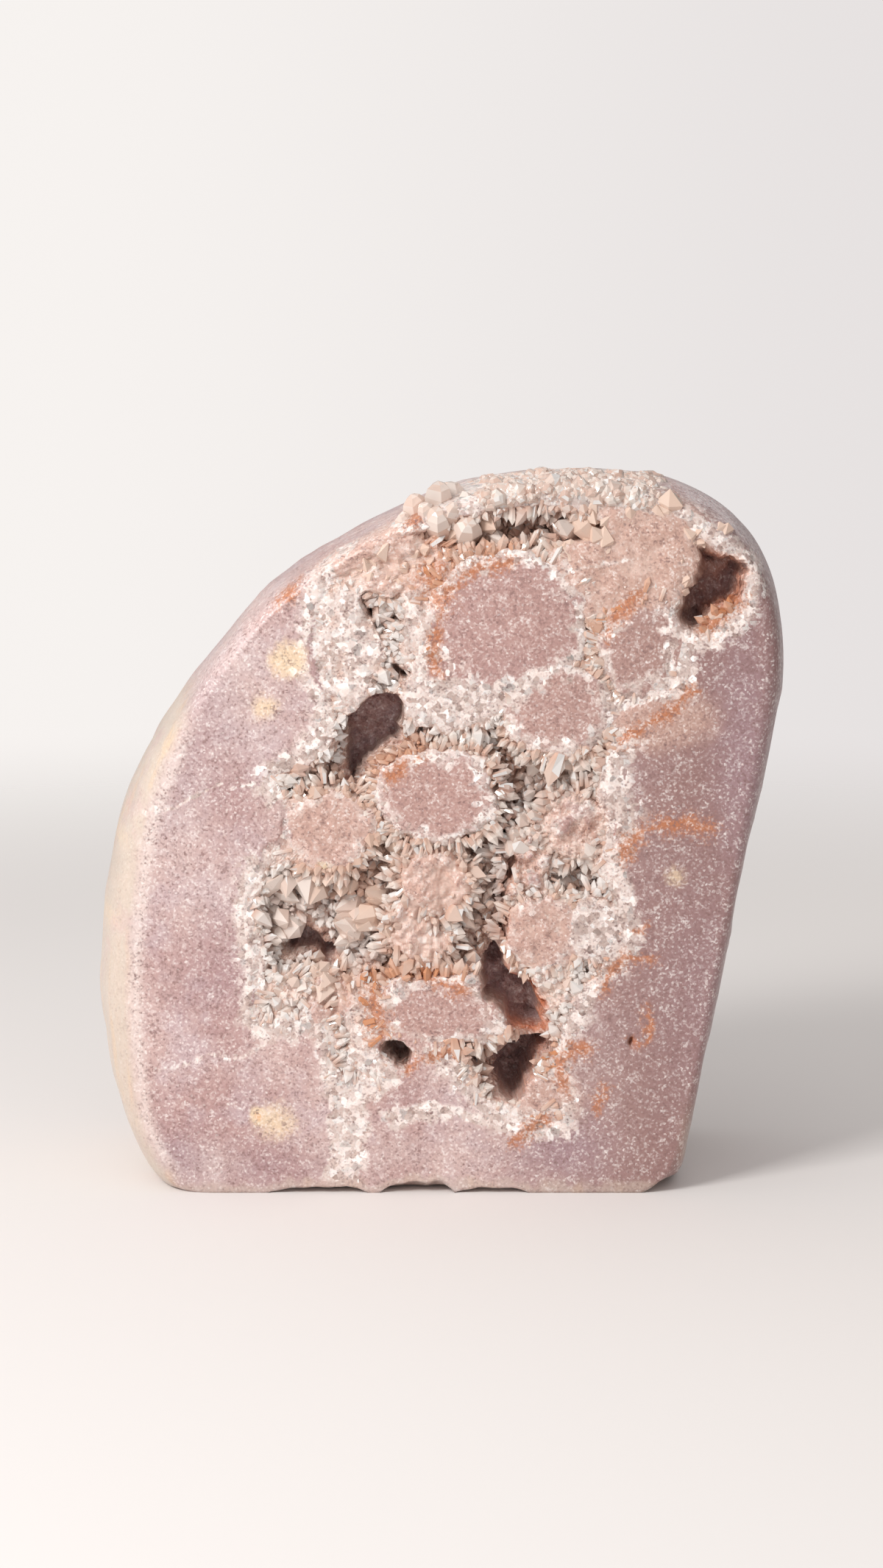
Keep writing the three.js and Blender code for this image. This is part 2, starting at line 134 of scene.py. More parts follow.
def surface_of(material):
    """The node tree of a material, emptied, and its new Principled shader, joined to the output."""
    material.use_nodes = True
    tree = material.node_tree
    tree.nodes.clear()
    shader = added(tree, "ShaderNodeBsdfPrincipled")
    added(tree, "ShaderNodeOutputMaterial", Surface=shader.outputs["BSDF"])
    return tree, shader


def mesh_object(name, points, polygons, smooth):
    """A mesh from a table of points in metres and tables of polygons, one for each number of sides."""
    mesh = bpy.data.meshes.new(name)
    sides = np.concatenate([np.full(len(table), table.shape[1]) for table in polygons])
    corners = np.concatenate([table.ravel() for table in polygons]).astype(np.int32)
    mesh.vertices.add(len(points))
    mesh.vertices.foreach_set("co", np.asarray(points, np.float32).ravel())
    mesh.loops.add(len(corners))
    mesh.loops.foreach_set("vertex_index", corners)
    mesh.polygons.add(len(sides))
    mesh.polygons.foreach_set("loop_start", (np.cumsum(sides) - sides).astype(np.int32))
    mesh.polygons.foreach_set("use_smooth", np.broadcast_to(smooth, len(sides)).astype(bool))
    mesh.update(calc_edges=True)
    made = bpy.data.objects.new(name, mesh)
    bpy.context.collection.objects.link(made)
    return made


floor_turn = np.linspace(0, 2 * math.pi, FLOOR_SIDES, endpoint=False)
floor_rim = np.stack([np.cos(floor_turn), np.sin(floor_turn), 0 * floor_turn], 1) * FLOOR_RADIUS
floor = mesh_object("floor", floor_rim, [np.arange(FLOOR_SIDES)[None]], False)

floor_board = bpy.data.materials.new("white_board")
tree, shader = surface_of(floor_board)
place = added(tree, "ShaderNodeTexCoord").outputs["Object"]
fade = ranged(tree, worked_vector(tree, "LENGTH", place), *FLOOR_FADE, 1.0, 0.0)
put(shader, Base_Color=FLOOR_COLOUR, Roughness=0.75, Specular_IOR_Level=0.2, Alpha=fade)
floor.data.materials.append(floor_board)


# The light
# A white room gives soft light from all round, most from high on the left, and one broad lamp
# stands high, front left. The camera sees a plain backdrop instead, darker on the right.
ROOM_LIGHT = (0.24, 0.82)
ROOM_BRIGHT_SIDE = (-0.62, -0.28, 0.73)
ROOM_COLOUR = (1.0, 0.975, 0.96, 1)
ROOM_SEEN_LEFT = (0.93, 0.895, 0.870, 1)
ROOM_SEEN_RIGHT = (0.79, 0.755, 0.75, 1)
ROOM_SEEN_EDGE = (-0.14, 0.16)
LAMP_POWER = 2.7
LAMP_SIZE = 0.20
LAMP_DISTANCE = 0.66
LAMP_TURN = math.radians(-42)
LAMP_ELEVATION = math.radians(36)

world = bpy.data.worlds.new("white_room")
bpy.context.scene.world = world
world.use_nodes = True
tree = world.node_tree
tree.nodes.clear()
direction = added(tree, "ShaderNodeTexCoord").outputs["Generated"]
across = added(tree, "ShaderNodeSeparateXYZ", Vector=direction).outputs["X"]
backdrop = mixed(tree, ranged(tree, across, *ROOM_SEEN_EDGE), ROOM_SEEN_LEFT, ROOM_SEEN_RIGHT)
seen = added(tree, "ShaderNodeBackground", Color=backdrop, Strength=1.0)
toward_bright = worked_vector(tree, "DOT_PRODUCT", direction, ROOM_BRIGHT_SIDE)
room_level = ranged(tree, toward_bright, -0.7, 1.0, *ROOM_LIGHT)
glow = added(tree, "ShaderNodeBackground", Color=ROOM_COLOUR, Strength=room_level)
choose = added(tree, "ShaderNodeMixShader")
straight = added(tree, "ShaderNodeLightPath").outputs["Is Camera Ray"]
for socket, value in zip(choose.inputs, (straight, glow.outputs[0], seen.outputs[0])):
    give(socket, value)
added(tree, "ShaderNodeOutputWorld", Surface=choose.outputs[0])

lamp_data = bpy.data.lights.new("lamp", "AREA")
lamp_data.energy = LAMP_POWER
lamp_data.size = LAMP_SIZE
lamp_data.color = (1.0, 0.985, 0.965)
lamp = bpy.data.objects.new("lamp", lamp_data)
lamp.rotation_euler = (math.pi / 2 - LAMP_ELEVATION, 0, LAMP_TURN)
lamp.location = (
    LAMP_DISTANCE * math.sin(LAMP_TURN) * math.cos(LAMP_ELEVATION),
    -LAMP_DISTANCE * math.cos(LAMP_TURN) * math.cos(LAMP_ELEVATION),
    LAMP_DISTANCE * math.sin(LAMP_ELEVATION) + 0.05,
)
bpy.context.collection.objects.link(lamp)


# The polished stone
# One piece of rosy quartz, sawn flat at the foot, ground round its edges and polished. The saw went
# through round nodules and the hollows between them, so the front is flat only where there was stone.
FRONT_DEPTH = 20
BACK_DEPTH = 21
FRONT_CROWN = 1.5
BACK_CROWN = 2.5
RIM_POWER = 2.4
AROUND = 540
FRONT_RINGS = 148
FRONT_EDGE_RINGS = 8
BACK_EDGE_RINGS = 6
BACK_RINGS = 10
FRONT_MIDDLE = (2.0, 62.0)

# The widest outline, in the middle of the slab, seen from the front, anticlockwise from the foot
OUTLINE = [
    [-42, -1.6], [-33, -1.8], [-10, -1.8], [15, -1.8], [28, -1.8], [34.4, -1.2], [37.4, 1.4],
    [38.4, 6], [39.8, 12.5], [42.3, 25.7], [46, 44.7], [48.8, 58.8], [51.7, 72.8], [52.7, 81.5],
    [52.3, 88], [50.5, 95], [47.1, 101.1], [42.2, 105.4], [36.3, 108.2], [28.4, 109.7],
    [19.6, 110], [11, 109.4], [2, 107.6], [-7.2, 103.8], [-17, 98.8], [-26.4, 92.6],
    [-34.4, 84], [-40.2, 76.4], [-46, 67.2], [-50.4, 56.8], [-53, 43.2], [-54, 30.5],
    [-52, 17], [-49, 7.2], [-46, 1.2],
]
# The rim of the polished front face, in the same order
FRONT_RIM = [
    [-34.5, -0.6], [-28, -1.2], [-10, -1.4], [12, -1.4], [24, -1.2], [30.6, 0], [34.6, 3.4],
    [36.2, 9], [37.8, 16.5], [39.8, 27.5], [42.8, 44], [45.1, 57.6], [47.3, 70.5],
    [48.5, 79.5], [48.3, 86], [46.8, 92.6], [43.4, 98.2], [38.8, 102.4], [33.4, 105.2],
    [26.4, 106.9], [18.8, 107.6], [10.6, 107], [2.6, 105.2], [-6.2, 101.8], [-15.2, 97],
    [-23.6, 91], [-30.6, 83.4], [-35.4, 76.2], [-40.4, 66.8], [-44, 57], [-46, 43.4],
    [-46.9, 31], [-46.2, 18], [-44.6, 9.2], [-40.6, 3],
]
# The back's rim is the outline drawn in, across and up, toward a place near the foot
BACK_DRAW = (0.85, 0.91)
BACK_TOWARD = (-2, 5)
BACK_MIDDLE = (0.0, 56.0)
# Where the front is broken down to the crystals
DRUSE = [
    [-14.4, 97.8], [-9, 101.6], [-1.8, 104.4], [4.2, 106], [12.9, 107], [28.2, 106.4],
    [35.9, 104], [42, 99.8], [45.6, 96.4], [45.5, 92], [42.7, 87.9], [38.9, 85.5],
    [35.6, 85.7], [35.3, 79], [30.7, 76.8], [26.8, 75.1], [27.4, 70.1], [25.3, 65.6],
    [27.1, 57.8], [25.4, 52.7], [27.9, 44.2], [27.5, 38], [22.7, 32.8], [21.1, 28.3],
    [18.3, 26], [18.3, 22], [16.9, 16.8], [18.4, 11.6], [13.3, 11], [9.9, 12.7],
    [6, 14.5], [-0.2, 22.5], [-5.2, 24.8], [-8.6, 24.2], [-9.4, 17.6], [-15.6, 16.6],
    [-17.6, 22.5], [-18.6, 28.6], [-21.7, 26.4], [-28.8, 26.9], [-28.6, 33.4], [-30.1, 43.1],
    [-28, 52.1], [-24.2, 57.8], [-25.7, 64.5], [-19, 70.1], [-18.1, 79], [-19.8, 84.6],
    [-18.2, 93.4],
]
# Nodules in the druse: middle, half sizes of the disc across and up, how deep it lies, and how
# peach-coloured and how milky it is
NODULES = {
    "upper_rose": (9.5, 88, 11, 9.6, 0, 0.1, 0),
    "upper_pale": (2, 81.4, 4.6, 2.6, 0, 0.1, 0.35),
    "upper_white_left": (-3.4, 85.4, 2.2, 6.6, 0.3, 0, 0.9),
    "upper_white_shelf": (1.2, 76, 6.2, 2.6, 0.2, 0, 0.9),
    "middle_right": (17.6, 74.9, 6.9, 5.5, 0.1, 0.35, 0),
    "right_upper": (29.7, 84.4, 5, 6.1, 0, 0.3, 0),
    "right_brown": (31, 73.6, 3.6, 1.8, 0.5, 0.8, 0),
    "centre": (-1, 62.3, 8, 6, 0, 0.3, 0),
    "left_shelf": (-17.4, 56.8, 5.8, 4.8, 0.2, 0.8, 0),
    "left_clear_shelf": (-25, 55.4, 2.6, 3.4, 0.6, 0.1, 0.6),
    "right_pale": (20.4, 57.4, 4.8, 3.6, 0.7, 0.2, 0.3),
    "right_lilac": (12.8, 52.2, 2.6, 4.6, 1.3, 0, 0.5),
    "peach_column": (-1.2, 48.8, 4.2, 4, 0.7, 1, 0.2),
    "peach_under": (-3.6, 40.8, 3.6, 3.6, 1, 1, 0.3),
    "peach_ball": (15, 40.9, 4.6, 4.9, 0.3, 0.8, 0),
    "white_ball": (22.9, 41.3, 3.4, 3.7, 0.1, 0, 1),
    "lower_rose": (-0.2, 28.8, 8.8, 4.5, 0, 0.3, 0),
    "cream_saddle": (-11.6, 25.6, 2, 5.4, 0.3, 0.2, 0.9),
    "top_glassy": (27.6, 97.2, 9.8, 7.6, 0.3, 1, 0),
    "top_left_glassy": (-7.4, 96.8, 6.6, 3.8, 0.8, 1, 0.2),
    "left_belt": (-14.4, 84.6, 4.2, 7.8, 0.3, 0, 1),
    "low_pale": (14.9, 14.8, 2.4, 2.3, 0.1, 0.8, 0.1),
    "clear_foot": (17, 33, 2.8, 2.8, 0.9, 0.2, 0.9),
    "low_left": (-16.8, 30.4, 3, 3, 1, 0.7, 0.2),
    "left_clear": (-25.2, 30.6, 2.6, 2.4, 0.6, 0.1, 0.8),
}
# How wide a nodule's broken rim is, how deep the bed lies, and the distance into what isn't there
NODULE_RIM = 1.2
BED_DEPTH = 4.4
NOWHERE = -9.0
# Open hollows: how deep each reaches, how dark and how rusty it is, and its mouth. The darkness
# is partly a smoky stain and partly painted shade in the recess
HOLLOWS = {
    "left_eye": (10, 1, 0, [
        [-15.9, 73.2], [-13.7, 74.8], [-11.2, 77.1], [-8.7, 77.8], [-6.8, 77.8], [-6.3, 71.9],
        [-6.5, 70], [-8.9, 69.1], [-11.6, 66.9], [-14.8, 63.8], [-15.7, 66.4], [-14.6, 70.8]]),
    "left_smoky": (5, 0.35, 0, [
        [-12.6, 92.4], [-10.4, 93], [-8.9, 88.6], [-7.6, 84.6], [-10.4, 86]]),
    "left_gap": (6, 0.9, 0.1, [
        [-8.6, 82.2], [-4.9, 81.7], [-5.8, 79.8]]),
    "top_trough": (4.2, 0.25, 0, [
        [4.4, 103.6], [12, 104.8], [20, 104.6], [24.4, 103.4], [22.4, 101], [18, 99.2],
        [12.6, 99.4], [7.5, 101.2]]),
    "trough_eye": (7, 0.6, 0.2, [
        [16.6, 103], [20.6, 103.8], [21.6, 102.2], [18, 101]]),
    "right_eye": (8, 0.8, 0.4, [
        [37.6, 99.4], [38.2, 97.7], [37.6, 93.9], [36.3, 91.4], [34.8, 89.6], [34.9, 87.7],
        [38.3, 87.4], [40.2, 89.6], [43.2, 91.4], [44.4, 93.3], [45.4, 94.9], [44.6, 96.5],
        [41.5, 98.2]]),
    "left_bowl": (3, 0, 0, [
        [-27, 43], [-26, 47.4], [-22.4, 49.6], [-17.6, 48.4], [-11, 53.4], [-7.4, 55.4],
        [-6.6, 50.4], [-8.6, 44.4], [-8.4, 39.4], [-12.4, 36.4], [-20, 35.8], [-25.8, 37.4]]),
    "left_bowl_eye": (9, 0.85, 0.1, [
        [-21.3, 43.1], [-18.7, 40.5], [-15.9, 37.9], [-17.1, 36.3], [-20.9, 36.6], [-24.3, 36.9],
        [-24.8, 38.2], [-21.9, 40.5]]),
    "crevice": (5, 0.42, 0.35, [
        [8, 67.4], [11.4, 67], [12, 57.8], [10.8, 48.8], [10.2, 39.7], [7.8, 39.7],
        [8, 48.8], [7.8, 57.8]]),
    "cleft_upper": (12, 0.95, 0.8, [
        [5.6, 37.3], [8.3, 40], [9.4, 37.9], [10.7, 35.6], [14.3, 31.7], [15.4, 28.6],
        [15.6, 25.4], [11.4, 26], [8.6, 29], [6.2, 32.3]]),
    "cleft_lower": (15, 1, 0.4, [
        [10.2, 24.6], [15.9, 24.2], [14.1, 19.8], [12.7, 15.4], [10.1, 14.2], [8.3, 16.4],
        [7.5, 20.6]]),
    "pinhole": (6, 1, 0, [
        [-9.4, 21.4], [-8.3, 23.6], [-6, 23.9], [-4.4, 22], [-5, 19.7], [-7.4, 19.1]]),
    "pit": (2, 0.9, 0.3, [
        [28.3, 24.5], [29.7, 24.7], [30, 23.5], [28.6, 23.1]]),
}
# Chips along the front of the foot: place, half length and height
FOOT_CHIPS = [(-20.5, 6.2, 0.9), (-15, 3, 1.1), (-4.6, 5, 1.6), (-1, 2.4, 1.9),
              (7.4, 5.6, 0.9)]
FOOT_CHIP_REACH = 4.5


def closed_curve(points, count):
    """A smooth closed line through the points, cut into equal lengths from the first of them. It is
    a centripetal Catmull-Rom spline: its knots are the square roots of the distances, and each part
    blends three straight lines through four points, two by two."""
    here = np.asarray(points, float)
    before, after, beyond = (np.roll(here, shift, 0) for shift in (1, -1, -2))
    gaps = np.sqrt(np.linalg.norm(np.stack([here - before, after - here, beyond - after]), axis=2))
    knots = np.concatenate([np.zeros((1, len(here))), np.cumsum(gaps, 0)])[:, :, None, None]
    place = knots[1] + gaps[1][:, None, None] * np.linspace(0, 1, 24, endpoint=False)[:, None]

    def blend(first, last, start, end):
        mixed_sum = (knots[end] - place) * first + (place - knots[start]) * last
        return mixed_sum / (knots[end] - knots[start])

    lines = [blend(a[:, None], b[:, None], k, k + 1)
             for k, (a, b) in enumerate([(before, here), (here, after), (after, beyond)])]
    curves = [blend(lines[0], lines[1], 0, 2), blend(lines[1], lines[2], 1, 3)]
    dense = blend(curves[0], curves[1], 1, 2).reshape(-1, 2)
    dense = np.concatenate([dense, dense[:1]])
    run = np.concatenate([[0], np.cumsum(np.linalg.norm(np.diff(dense, axis=0), axis=1))])
    even = np.linspace(0, run[-1], count, endpoint=False)
    return np.stack([np.interp(even, run, dense[:, axis]) for axis in (0, 1)], 1)


def smooth_step(value):
    """0 below 0, 1 above 1, and 3t² - 2t³ between."""
    held = np.clip(value, 0, 1)
    return held * held * (3 - 2 * held)


def mottle(x, z, size, seed):
    """Soft noise from -1 to 1: chance values at the corners of squares of a size, blended across
    each square by the smooth step of the place in it."""
    table = np.random.default_rng(seed).uniform(-1, 1, (64, 64))
    column, row = np.floor(x / size).astype(int), np.floor(z / size).astype(int)
    right, up = smooth_step(x / size - column), smooth_step(z / size - row)

    def corner(aside, above):
        return table[(column + aside) % 64, (row + above) % 64]

    low = corner(0, 0) * (1 - right) + corner(1, 0) * right
    high = corner(0, 1) * (1 - right) + corner(1, 1) * right
    return low * (1 - up) + high * up


def from_line(x, z, line):
    """Distance to the nearest straight piece of a line of points."""
    nearest = np.full(np.shape(x), np.inf)
    for (x0, z0), (x1, z1) in zip(line[:-1], line[1:]):
        length = math.hypot(x1 - x0, z1 - z0)
        along = np.clip(((x - x0) * (x1 - x0) + (z - z0) * (z1 - z0)) / length**2, 0, 1)
        gap = np.hypot(x - x0 - along * (x1 - x0), z - z0 - along * (z1 - z0))
        nearest = np.minimum(nearest, gap)
    return nearest


def into_outline(x, z, outline):
    """How far inside a closed outline a place lies, and negative outside it: the distance to its
    line, with the side by how often a level ray from the place crosses it."""
    inside = np.zeros(np.shape(x), bool)
    closed = np.concatenate([outline, outline[:1]])
    for (x0, z0), (x1, z1) in zip(closed[:-1], closed[1:]):
        if z0 != z1:
            crosses = (z0 > z) != (z1 > z)
            inside ^= crosses & (x < x0 + (z - z0) * (x1 - x0) / (z1 - z0))
    return np.where(inside, 1, -1) * from_line(x, z, closed)


druse_outline = closed_curve(DRUSE, 150)
front_rim = closed_curve(FRONT_RIM, 150)
hollow_outlines = [(*facts, closed_curve(mouth, 40)) for *facts, mouth in HOLLOWS.values()]


def front_relief(x, z):
    """What the saw and the hollows left of the front at places x, z. Noise of three sizes shifts the
    places, so that every edge is ragged. The druse steps down from its outline to its bed, each
    nodule rises from the bed to its flat, up a steep flank, and each hollow goes down from its mouth.
    It gives, by name: the depth under the polish, how far into the druse, into the nearest nodule's
    disc and into a dark hollow a place is (negative outside), how peach-coloured and milky that
    nodule is, and how dark and rusty the hollow is, with its rust on the right wall."""
    ragged_x = x + 0.9 * mottle(x, z, 3.4, 1) + 0.45 * mottle(x, z, 1.3, 2)
    ragged_x = ragged_x + 0.2 * mottle(x, z, 0.6, 3)
    ragged_z = z + 0.9 * mottle(x, z, 3.4, 4) + 0.45 * mottle(x, z, 1.3, 5)
    ragged_z = ragged_z + 0.2 * mottle(x, z, 0.6, 6)
    in_druse = into_outline(ragged_x, ragged_z, druse_outline)
    lumps = 0.8 * mottle(x, z, 2.6, 7) + 0.5 * mottle(x, z, 1.1, 8) + 0.25 * mottle(x, z, 0.5, 9)
    step_down = 0.35 * smooth_step(in_druse / 0.5)
    depth = step_down + (BED_DEPTH + 1.3 * lumps) * smooth_step((in_druse - 1.2) / 2.4)
    in_bed = depth > 0.05
    found = {name: np.zeros(np.shape(x)) for name in ("peach", "milk", "dark", "rusty")}
    in_nodule = np.full(np.shape(x), NOWHERE)
    for middle_x, middle_z, across_half, up_half, sink, peach, milk in NODULES.values():
        side, rise = (ragged_x - middle_x) / across_half, (ragged_z - middle_z) / up_half
        inward = (1 - np.hypot(side, rise)) * min(across_half, up_half)
        beyond = np.maximum(-inward - NODULE_RIM, 0)
        flank = sink * (1 + 1.2 * lumps) + 0.35 * smooth_step(-inward / NODULE_RIM) + 2.6 * beyond
        depth = np.where(in_bed, np.minimum(depth, flank), depth)
        nearer = inward > in_nodule
        found["peach"] = np.where(nearer, peach, found["peach"])
        found["milk"] = np.where(nearer, milk, found["milk"])
        in_nodule = np.maximum(in_nodule, inward)
    in_dark = np.full(np.shape(x), NOWHERE)
    for reach, dark, rusty, mouth in hollow_outlines:
        inward = into_outline(ragged_x, ragged_z, mouth)
        open_share = smooth_step((inward + 0.15) / 1.7)
        depth = np.maximum(depth, reach * open_share * (1 + 0.16 * lumps))
        found["dark"] = np.maximum(found["dark"], dark * open_share)
        right_wall = smooth_step((ragged_x - mouth[:, 0].mean()) / 3 + 0.5)
        wall_share = smooth_step((inward + 0.5) / 0.9)
        found["rusty"] = np.maximum(found["rusty"], rusty * wall_share * right_wall)
        if dark > 0.5:
            in_dark = np.maximum(in_dark, inward)
    found.update(depth=depth, in_druse=in_druse, in_nodule=in_nodule, in_dark=in_dark)
    return found


def stone_rings():
    """The whole skin as rings of places, from the middle of the front, over the edge, to the middle
    of the back. On a face a ring is the rim drawn in toward the middle, and it stands proud of the
    rim by the crown times one less its share to the power 2.5. Round the edge a ring goes from the
    rim to the outline as the sine, and back as the cosine, both to the power 2 over RIM_POWER. The
    edge is ground by hand, so a soft noise draws it in a little, by up to 1.4 % of the way."""
    rim = closed_curve(FRONT_RIM, AROUND)
    outline = closed_curve(OUTLINE, AROUND)
    rim[:, 1] = np.maximum(rim[:, 1], 0)
    outline[:, 1] = np.maximum(outline[:, 1], 0)
    back_rim = (outline - BACK_TOWARD) * BACK_DRAW + BACK_TOWARD
    back_rim[:, 1] = np.where(outline[:, 1] <= 0, 0, back_rim[:, 1])

    rings, depths = [], []
    for share in np.linspace(0, 1, FRONT_RINGS + 1)[1:]:
        rings.append(FRONT_MIDDLE + share * (rim - FRONT_MIDDLE))
        depths.append(-FRONT_DEPTH - FRONT_CROWN * (1 - share**2.5))
    for turn in np.linspace(0, math.pi / 2, FRONT_EDGE_RINGS + 1)[1:]:
        rings.append(rim + math.sin(turn) ** (2 / RIM_POWER) * (outline - rim))
        depths.append(-FRONT_DEPTH * max(math.cos(turn), 0) ** (2 / RIM_POWER))
    for turn in np.linspace(math.pi / 2, 0, BACK_EDGE_RINGS + 1)[1:]:
        rings.append(back_rim + math.sin(turn) ** (2 / RIM_POWER) * (outline - back_rim))
        depths.append(BACK_DEPTH * math.cos(turn) ** (2 / RIM_POWER))
    for share in np.linspace(1, 0, BACK_RINGS + 1)[1:-1]:
        rings.append(BACK_MIDDLE + share * (back_rim - BACK_MIDDLE))
        depths.append(BACK_DEPTH + BACK_CROWN * (1 - share**2.5))
    skin = np.zeros((len(rings), AROUND, 3))
    skin[:, :, [0, 2]] = rings
    skin[:, :, 1] = np.array(depths)[:, None]
    edge = slice(FRONT_RINGS, FRONT_RINGS + FRONT_EDGE_RINGS + BACK_EDGE_RINGS)
    run = np.arange(AROUND) * 360 / AROUND
    edge_y = skin[edge, :, 1]
    wave = 0.010 * mottle(run + 7, edge_y, 13, 41) + 0.004 * mottle(run, edge_y, 5, 42)
    wave *= smooth_step(skin[edge, :, 2] / 12) * smooth_step((edge_y + FRONT_DEPTH) / 5)
    for axis, middle in ((0, BACK_MIDDLE[0]), (2, BACK_MIDDLE[1])):
        skin[edge, :, axis] -= np.abs(wave) * (skin[edge, :, axis] - middle)
    ends = [[FRONT_MIDDLE[0], -FRONT_DEPTH - FRONT_CROWN, FRONT_MIDDLE[1]],
            [BACK_MIDDLE[0], BACK_DEPTH + BACK_CROWN, BACK_MIDDLE[1]]]
    return skin, np.array(ends)


def skin_polygons(ring_count):
    """Squares between one ring and the next, and a fan of triangles to the middle of each face."""
    here = np.arange(AROUND)
    after = np.roll(here, -1)
    start = (np.arange(ring_count - 1) * AROUND)[:, None]
    squares = np.stack([start + here, start + AROUND + here, start + AROUND + after, start + after], 2)
    front_middle, last = ring_count * AROUND, (ring_count - 1) * AROUND
    front_fan = np.stack([np.full(AROUND, front_middle), here, after], 1)
    back_fan = np.stack([last + here, np.full(AROUND, front_middle + 1), last + after], 1)
    return squares.reshape(-1, 4), np.concatenate([front_fan, back_fan])


def foot_lift(points):
    """How much the chips lift the skin: under a flat arch of each chip's height, fading upward over
    eight millimetres and inward from the front over the chips' reach."""
    x, y, z = points.T
    lift = np.zeros(len(points))
    for middle, half_length, height in FOOT_CHIPS:
        arch = np.clip(1 - ((x - middle) / half_length) ** 2, 0, 1) ** 0.6
        lift = np.maximum(lift, height * arch * (1 + 0.25 * mottle(x, y, 1.1, 21)))
    inward = smooth_step((-FRONT_DEPTH + FOOT_CHIP_REACH - y) / FOOT_CHIP_REACH)
    return lift * (np.clip(1 - z / 8, 0, 1) * inward)


skin, ends = stone_rings()
front_part = skin[:FRONT_RINGS + 2]
relief = front_relief(front_part[:, :, 0], front_part[:, :, 2])
front_part[:, :, 1] += relief["depth"]
stone_points = np.concatenate([skin.reshape(-1, 3), ends])
stone_points[-2, 1] += relief["depth"][0].mean()
stone_points[:, 2] += foot_lift(stone_points)
squares, fans = skin_polygons(len(skin))

# The part's frame has its origin under the middle of its box, and the numbers here start elsewhere
OUTLINE_LEFT = 54.0
stone_low, stone_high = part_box("stone")
home_x = stone_low.x / MILLIMETRE + OUTLINE_LEFT
HOME = np.array([home_x, stone_high.y / MILLIMETRE - (BACK_DEPTH + BACK_CROWN), 0])
polished = np.ones((len(skin) - 1, AROUND), bool)
polished[:FRONT_RINGS] = relief["depth"][:FRONT_RINGS] <= 0.35
stone_smooth = np.concatenate([polished.ravel(), np.ones(len(fans), bool)])
polished_stone = mesh_object(
    "polished_stone", (stone_points + HOME) * MILLIMETRE, [squares, fans], stone_smooth)

# Rust in fine cracks round the nodules: half width and line
RUST_LINES = {
    "upper_nodule": (0.8, [[-1.2, 81], [-1.2, 86.5], [-0.3, 90.3], [1, 93.4], [4.6, 96.2],
                           [10, 97.3]]),
    "left_of_upper": (1.5, [[-0.6, 97], [-1.6, 94], [-0.6, 91.4]]),
    "third_nodule": (0.7, [[24.6, 86.1], [25.5, 88.3], [27.3, 90.3], [29.2, 92.1]]),
    "centre_nodule": (0.9, [[-8, 65.1], [-6.3, 66.3], [-4, 68]]),
    "right_arc": (1, [[27.6, 52.7], [28.5, 54.9], [30, 56.3], [33, 57.6], [36.4, 58.1],
                        [40, 57]]),
    "low_band": (0.8, [[-11.4, 33.4], [-8, 34.1], [-3, 33.9], [3.2, 32.2]]),
    "low_side": (1.3, [[-11, 32.6], [-10.5, 29.4], [-9.8, 25.7]]),
    "right_hook": (0.6, [[24.6, 32.2], [25.3, 35.3], [27.7, 37.1], [31.7, 36.7]]),
    "top_left": (0.6, [[-24.6, 90.7], [-23.2, 92.1], [-22, 94.5]]),
    "under_pinhole": (0.6, [[-5.5, 19.4], [-3, 21.7], [1.1, 22.5]]),
    "beside_cleft": (0.8, [[18.5, 16.7], [17.6, 20.2], [19.8, 23.4], [21.8, 22.5]]),
    "low_right": (0.6, [[23.5, 13.3], [24, 15.3], [25, 16.7]]),
    "low_foot": (0.9, [[11.1, 8.3], [12.9, 10], [15.3, 11.6]]),
    "small_right": (0.4, [[29.5, 41], [31, 42.4]]),
    "by_pit": (0.5, [[29.1, 24.5], [30.3, 23.6], [31.6, 25], [31.1, 29.4]]),
    "below_right_eye": (0.9, [[39.6, 86.5], [40.6, 87.9], [42.1, 89.9], [44.1, 91.6]]),
    "crown": (0.8, [[28.9, 108.5], [32, 109.5], [34.9, 107.9]]),
    "bump": (1, [[-4.4, 103.1], [-3.7, 104.4], [-3, 105.7]]),
    "middle_right": (0.7, [[27, 70.6], [30.7, 72.9], [33.5, 74.3], [37.4, 78.1]]),
}
# Yellow spots: middle, radius and strength
YELLOW_SPOTS = [(-23.2, 82.6, 3.2, 1.1), (-26.9, 75.4, 2.8, 0.75), (-28, 12.2, 1.6, 1.4),
                (-25.6, 11.4, 4, 0.8), (35.1, 49.7, 2.4, 0.7), (-18, 51, 1.3, 0.8),
                (-49.5, 55, 3, 0.5), (-51.5, 43, 3.5, 0.5)]
# Milky bands of fine quartz in the polished stone, as outlines
MILKY_BANDS = {
    "left_belt": [[-19.8, 94.5], [-13, 94], [-9, 86], [-4.5, 79], [-9, 77.5],
                  [-17, 76]],
    "low_belt": [[-18, 17.3], [-12.4, 18.5], [-11, 10], [-12.8, 1], [-18.6, 1],
                 [-17, 9]],
    "below_upper": [[-5, 80], [8, 79.5], [14, 81], [19.5, 82.5], [11, 77], [6, 72],
                    [-2, 71.5], [-5.5, 75]],
    "low_shelf": [[-10, 13], [0, 14.5], [10, 12.5], [12, 9], [2, 12], [-8, 10.5]],
}
# Thin milky veins
MILKY_LINES = [[[4.2, 75], [10.8, 78.1], [19.1, 82.3]],
               [[15.7, 94.5], [21.7, 96.5], [28.9, 97.8]],
               [[-45.8, 58.9], [-40.1, 60.2], [-36.6, 62.5], [-33.5, 63.7], [-31.7, 63.1], [-26, 64.4]],
               [[-44.1, 19.3], [-37.6, 20.9], [-35.5, 21.9], [-31.6, 21.3], [-26, 24]]]
